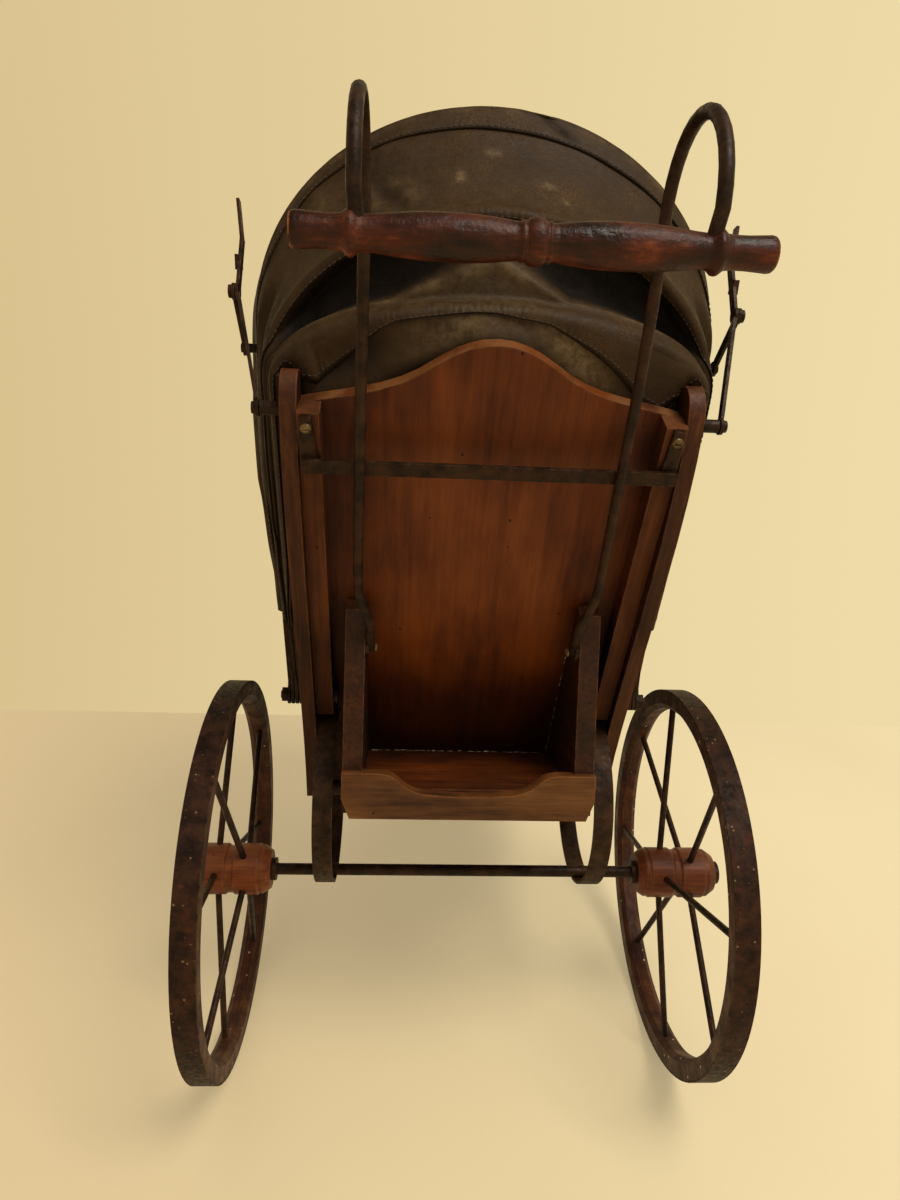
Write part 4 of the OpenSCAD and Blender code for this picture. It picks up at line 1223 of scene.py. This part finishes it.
# %% [markdown]
# ## Dried glue
# Where the shelf meets the panel, and up one corner of the box, a thin bead of glue has gone pale
# and crumbled. It is a row of small crumbs whose lengths and gaps never repeat, half sunk in the
# corner, built from the same capsule as the stitches.

# %% Glue in the corners
GLUE_SINK = 0.3
GLUE_CLIMB = 112.0
GLUE_INSET = 0.8
CRUMB_LONG = 7.0


def glue_line(name, start, end, gap, seed):
    """Crumbs of glue along a line in mm, with uneven lengths and gaps."""
    dice = np.random.default_rng(seed)
    way = np.array(end) - np.array(start)
    reach = np.linalg.norm(way)
    placed = []
    at = 1.0
    while at < reach - CRUMB_LONG:
        long = dice.uniform(1.5, CRUMB_LONG)
        thick = dice.uniform(0.25, 0.55)
        wobble = dice.uniform(-0.25, 0.25, 3)
        middle = np.array(start) + way * (at + long / 2) / reach + wobble
        placed.append((np.stack([way / reach * long, (0, -thick, 0), (thick, 0, thick)]), middle))
        at += long + dice.exponential(gap)
    piece = capsules(name, placed, dried_glue)
    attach(piece, "carriage")


crumbling = ((0.4, (104, 84, 58)), (0.6, (176, 156, 122)))
dried_glue = mottled("dried_glue", 0.0016, 4, *crumbling, 0.8, 0.0003)
joint_y = panel_high[1] - PANEL_THICK * math.cos(PANEL_LEAN) - GLUE_SINK
joint_z = panel_low[2] + GLUE_SINK
glue_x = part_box("shelf_board")[1].x / MM - GLUE_INSET
corner_top = (glue_x, joint_y - GLUE_CLIMB * math.tan(PANEL_LEAN), joint_z + GLUE_CLIMB)
glue_line("shelf_glue", (-glue_x, joint_y, joint_z), (glue_x, joint_y, joint_z), gap=1.6, seed=5)
glue_line("corner_glue", (glue_x, joint_y, joint_z), corner_top, gap=7.0, seed=8)

# %% [markdown]
# ## The turned grip
# A turner cut the grip from one stick: plain ends, a sharp collar where each rod enters, two long
# bellies and a bead in the middle. It is a half outline, given as distances from the middle with
# radii, in millimetres. The outline is mirrored and spun round the bar's axis, and pushed in a
# little here and there so that it looks handled. Its two ends show end grain.

# %% The grip's outline and end grain
GRIP_OUTLINE = (
    (0, 9.6), (1.6, 9.55), (3.0, 9.1), (3.9, 8.2), (4.5, 7.8), (5.2, 8.3), (6.0, 8.3), (6.6, 7.6),
    (9, 7.7), (14, 8.4), (20, 9.0), (28, 9.5), (36, 9.6), (44, 9.5), (52, 9.0), (59, 8.3),
    (66, 7.5), (70, 7.2), (72, 7.4), (73.2, 8.3), (74.4, 9.4), (75.4, 9.6), (76.4, 9.4),
    (77.6, 8.4), (79, 7.3), (82, 6.95), (88, 6.95), (94, 7.3), (97.6, 7.55), (99, 7.3),
    (99.8, 6.6), (100, 5.4), (99.8, 3.0), (99.6, 0.4),
)
GRIP_SIDES = 56
GRIP_DENTS = 0.016
END_GRAIN_FROM = 99.3


def end_grain_finish(middle):
    """Orange end grain with rings, dark pores and a drying crack."""
    f = Finish("end_grain")
    rings = f.noise(0.0014, ring_place(f, middle.y, middle.z), rough=0.6)
    f.ramp(rings, (0.38, (92, 44, 16)), (0.5, (140, 74, 30)), (0.62, (176, 108, 54)))
    f.paint((48, 20, 8), f.band(f.spots(0.0011), 0.16, 0.08), 0.7)
    split = f.noise(0.009, f.along((20, 0, 0), 5), detail=5)
    crack = f.times(f.band(split, 0.49, 0.52), f.band(split, 0.55, 0.52))
    f.paint((30, 12, 5), crack)
    f.relief(rings, 0.0003)
    return f.finish(0.7, SATIN)


# %% Spin the grip
grip_low, grip_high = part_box("handle_bar")
grip_middle = (grip_low + grip_high) / 2
profile = np.array(GRIP_OUTLINE)
profile = np.vstack([profile[::-1] * (-1, 1), profile[1:]])
turn = np.linspace(0, 2 * np.pi, GRIP_SIDES, endpoint=False)
lengthwise = np.repeat(profile[:, :1], GRIP_SIDES, axis=1)
radius = profile[:, 1:]
spun = np.stack([lengthwise, radius * np.sin(turn), radius * np.cos(turn)], axis=2)
dented = 1 - GRIP_DENTS * (0.5 + 0.5 * soft_noise(spun, 7, 51))
spun[:, :, 1:] *= dented[:, :, None]
grip_faces = tube_faces(len(profile), GRIP_SIDES)
grip_faces.append(tuple(range(GRIP_SIDES)))
last_point = len(profile) * GRIP_SIDES - 1
grip_faces.append(tuple(last_point - k for k in range(GRIP_SIDES)))
grip_points = spun.reshape(-1, 3) * MM + np.array(grip_middle)
end_grain = end_grain_finish(grip_middle)
grip = new_piece("turned_grip", grip_points, grip_faces, handle_varnish, end_grain)
for face in grip.data.polygons:
    outward = abs(face.center.x - grip_middle.x) / MM
    face.material_index = int(outward > END_GRAIN_FROM)
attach(grip, "carriage")
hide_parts("handle_bar")
print("grip", round((grip_high.x - grip_low.x) / MM), "mm long,", len(grip_faces), "faces")

# %% [markdown]
# ## Which body each leather belongs to
# The cap stays with the carriage. Each section joins two bows that turn by different amounts, and
# all the bows turn about the same line. A row gives each section a body, a start point and the bow
# it ends on. Where a section's lower edge is on a bow that moves too, the start lies further back,
# at the share that gives that bow's own turn. Here each section's place is only baked into its
# points; no blend is set up.


# %% Bake the sections' places
def on_top(bow):
    """The top of a bow, in metres."""
    return Vector(over_bow(bow, 0, 0)[COLUMNS // 2]) * MM


def start_before(bow, following, share):
    """The point before a bow that puts the bow itself at a share of the way."""
    a, b = on_top(bow), on_top(following)
    return b - (b - a) / (1 - share)


MIDDLE_SHARE = 0.40
MAIN_SHARE = 0.487
rear_seam, middle_seam, main_seam, front_seam = (row for row, _ in seams)
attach(rear_cap, "carriage")
paths = (
    ("hood_middle", on_top("rear"), "middle", (lower_section, rear_seam)),
    ("hood_main", start_before("middle", "main", MIDDLE_SHARE), "main",
     (upper_section, middle_seam, band, main_seam)),
    ("hood_front", start_before("main", "front", MAIN_SHARE), "front", (roof, front_seam)),
)
for body, start, bow, pieces in paths:
    for piece in pieces:
        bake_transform(piece)
    print(body, "carries", [piece.name for piece in pieces])

# %% [markdown]
# ## What each sheet was cut to
# Each sheet is listed with the size of its flat cut. Each section is a crescent, so its flat area
# is less than its width times its length. The solids of leather stay for collision only, hidden.

CUTS = (
    (rear_cap, (0.72, 0.075), 0.0240, "rear_leather", ["rear_bow", "back_panel"]),
    (lower_section, (0.80, 0.085), 0.0400, "middle_leather", ["rear_bow", "middle_bow"]),
    (upper_section, (0.92, 0.115), 0.0600, "main_leather", ["middle_bow", "main_bow"]),
    (roof, (0.98, 0.205), 0.1450, "front_leather", ["main_bow", "front_bow"]),
    (band, (0.96, 0.030), 0.0215, "main_leather", ["main_bow"]),
)
for piece, flat, area, node, bows in CUTS:
    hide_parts(node)
print("declared", len(CUTS), "sheets")
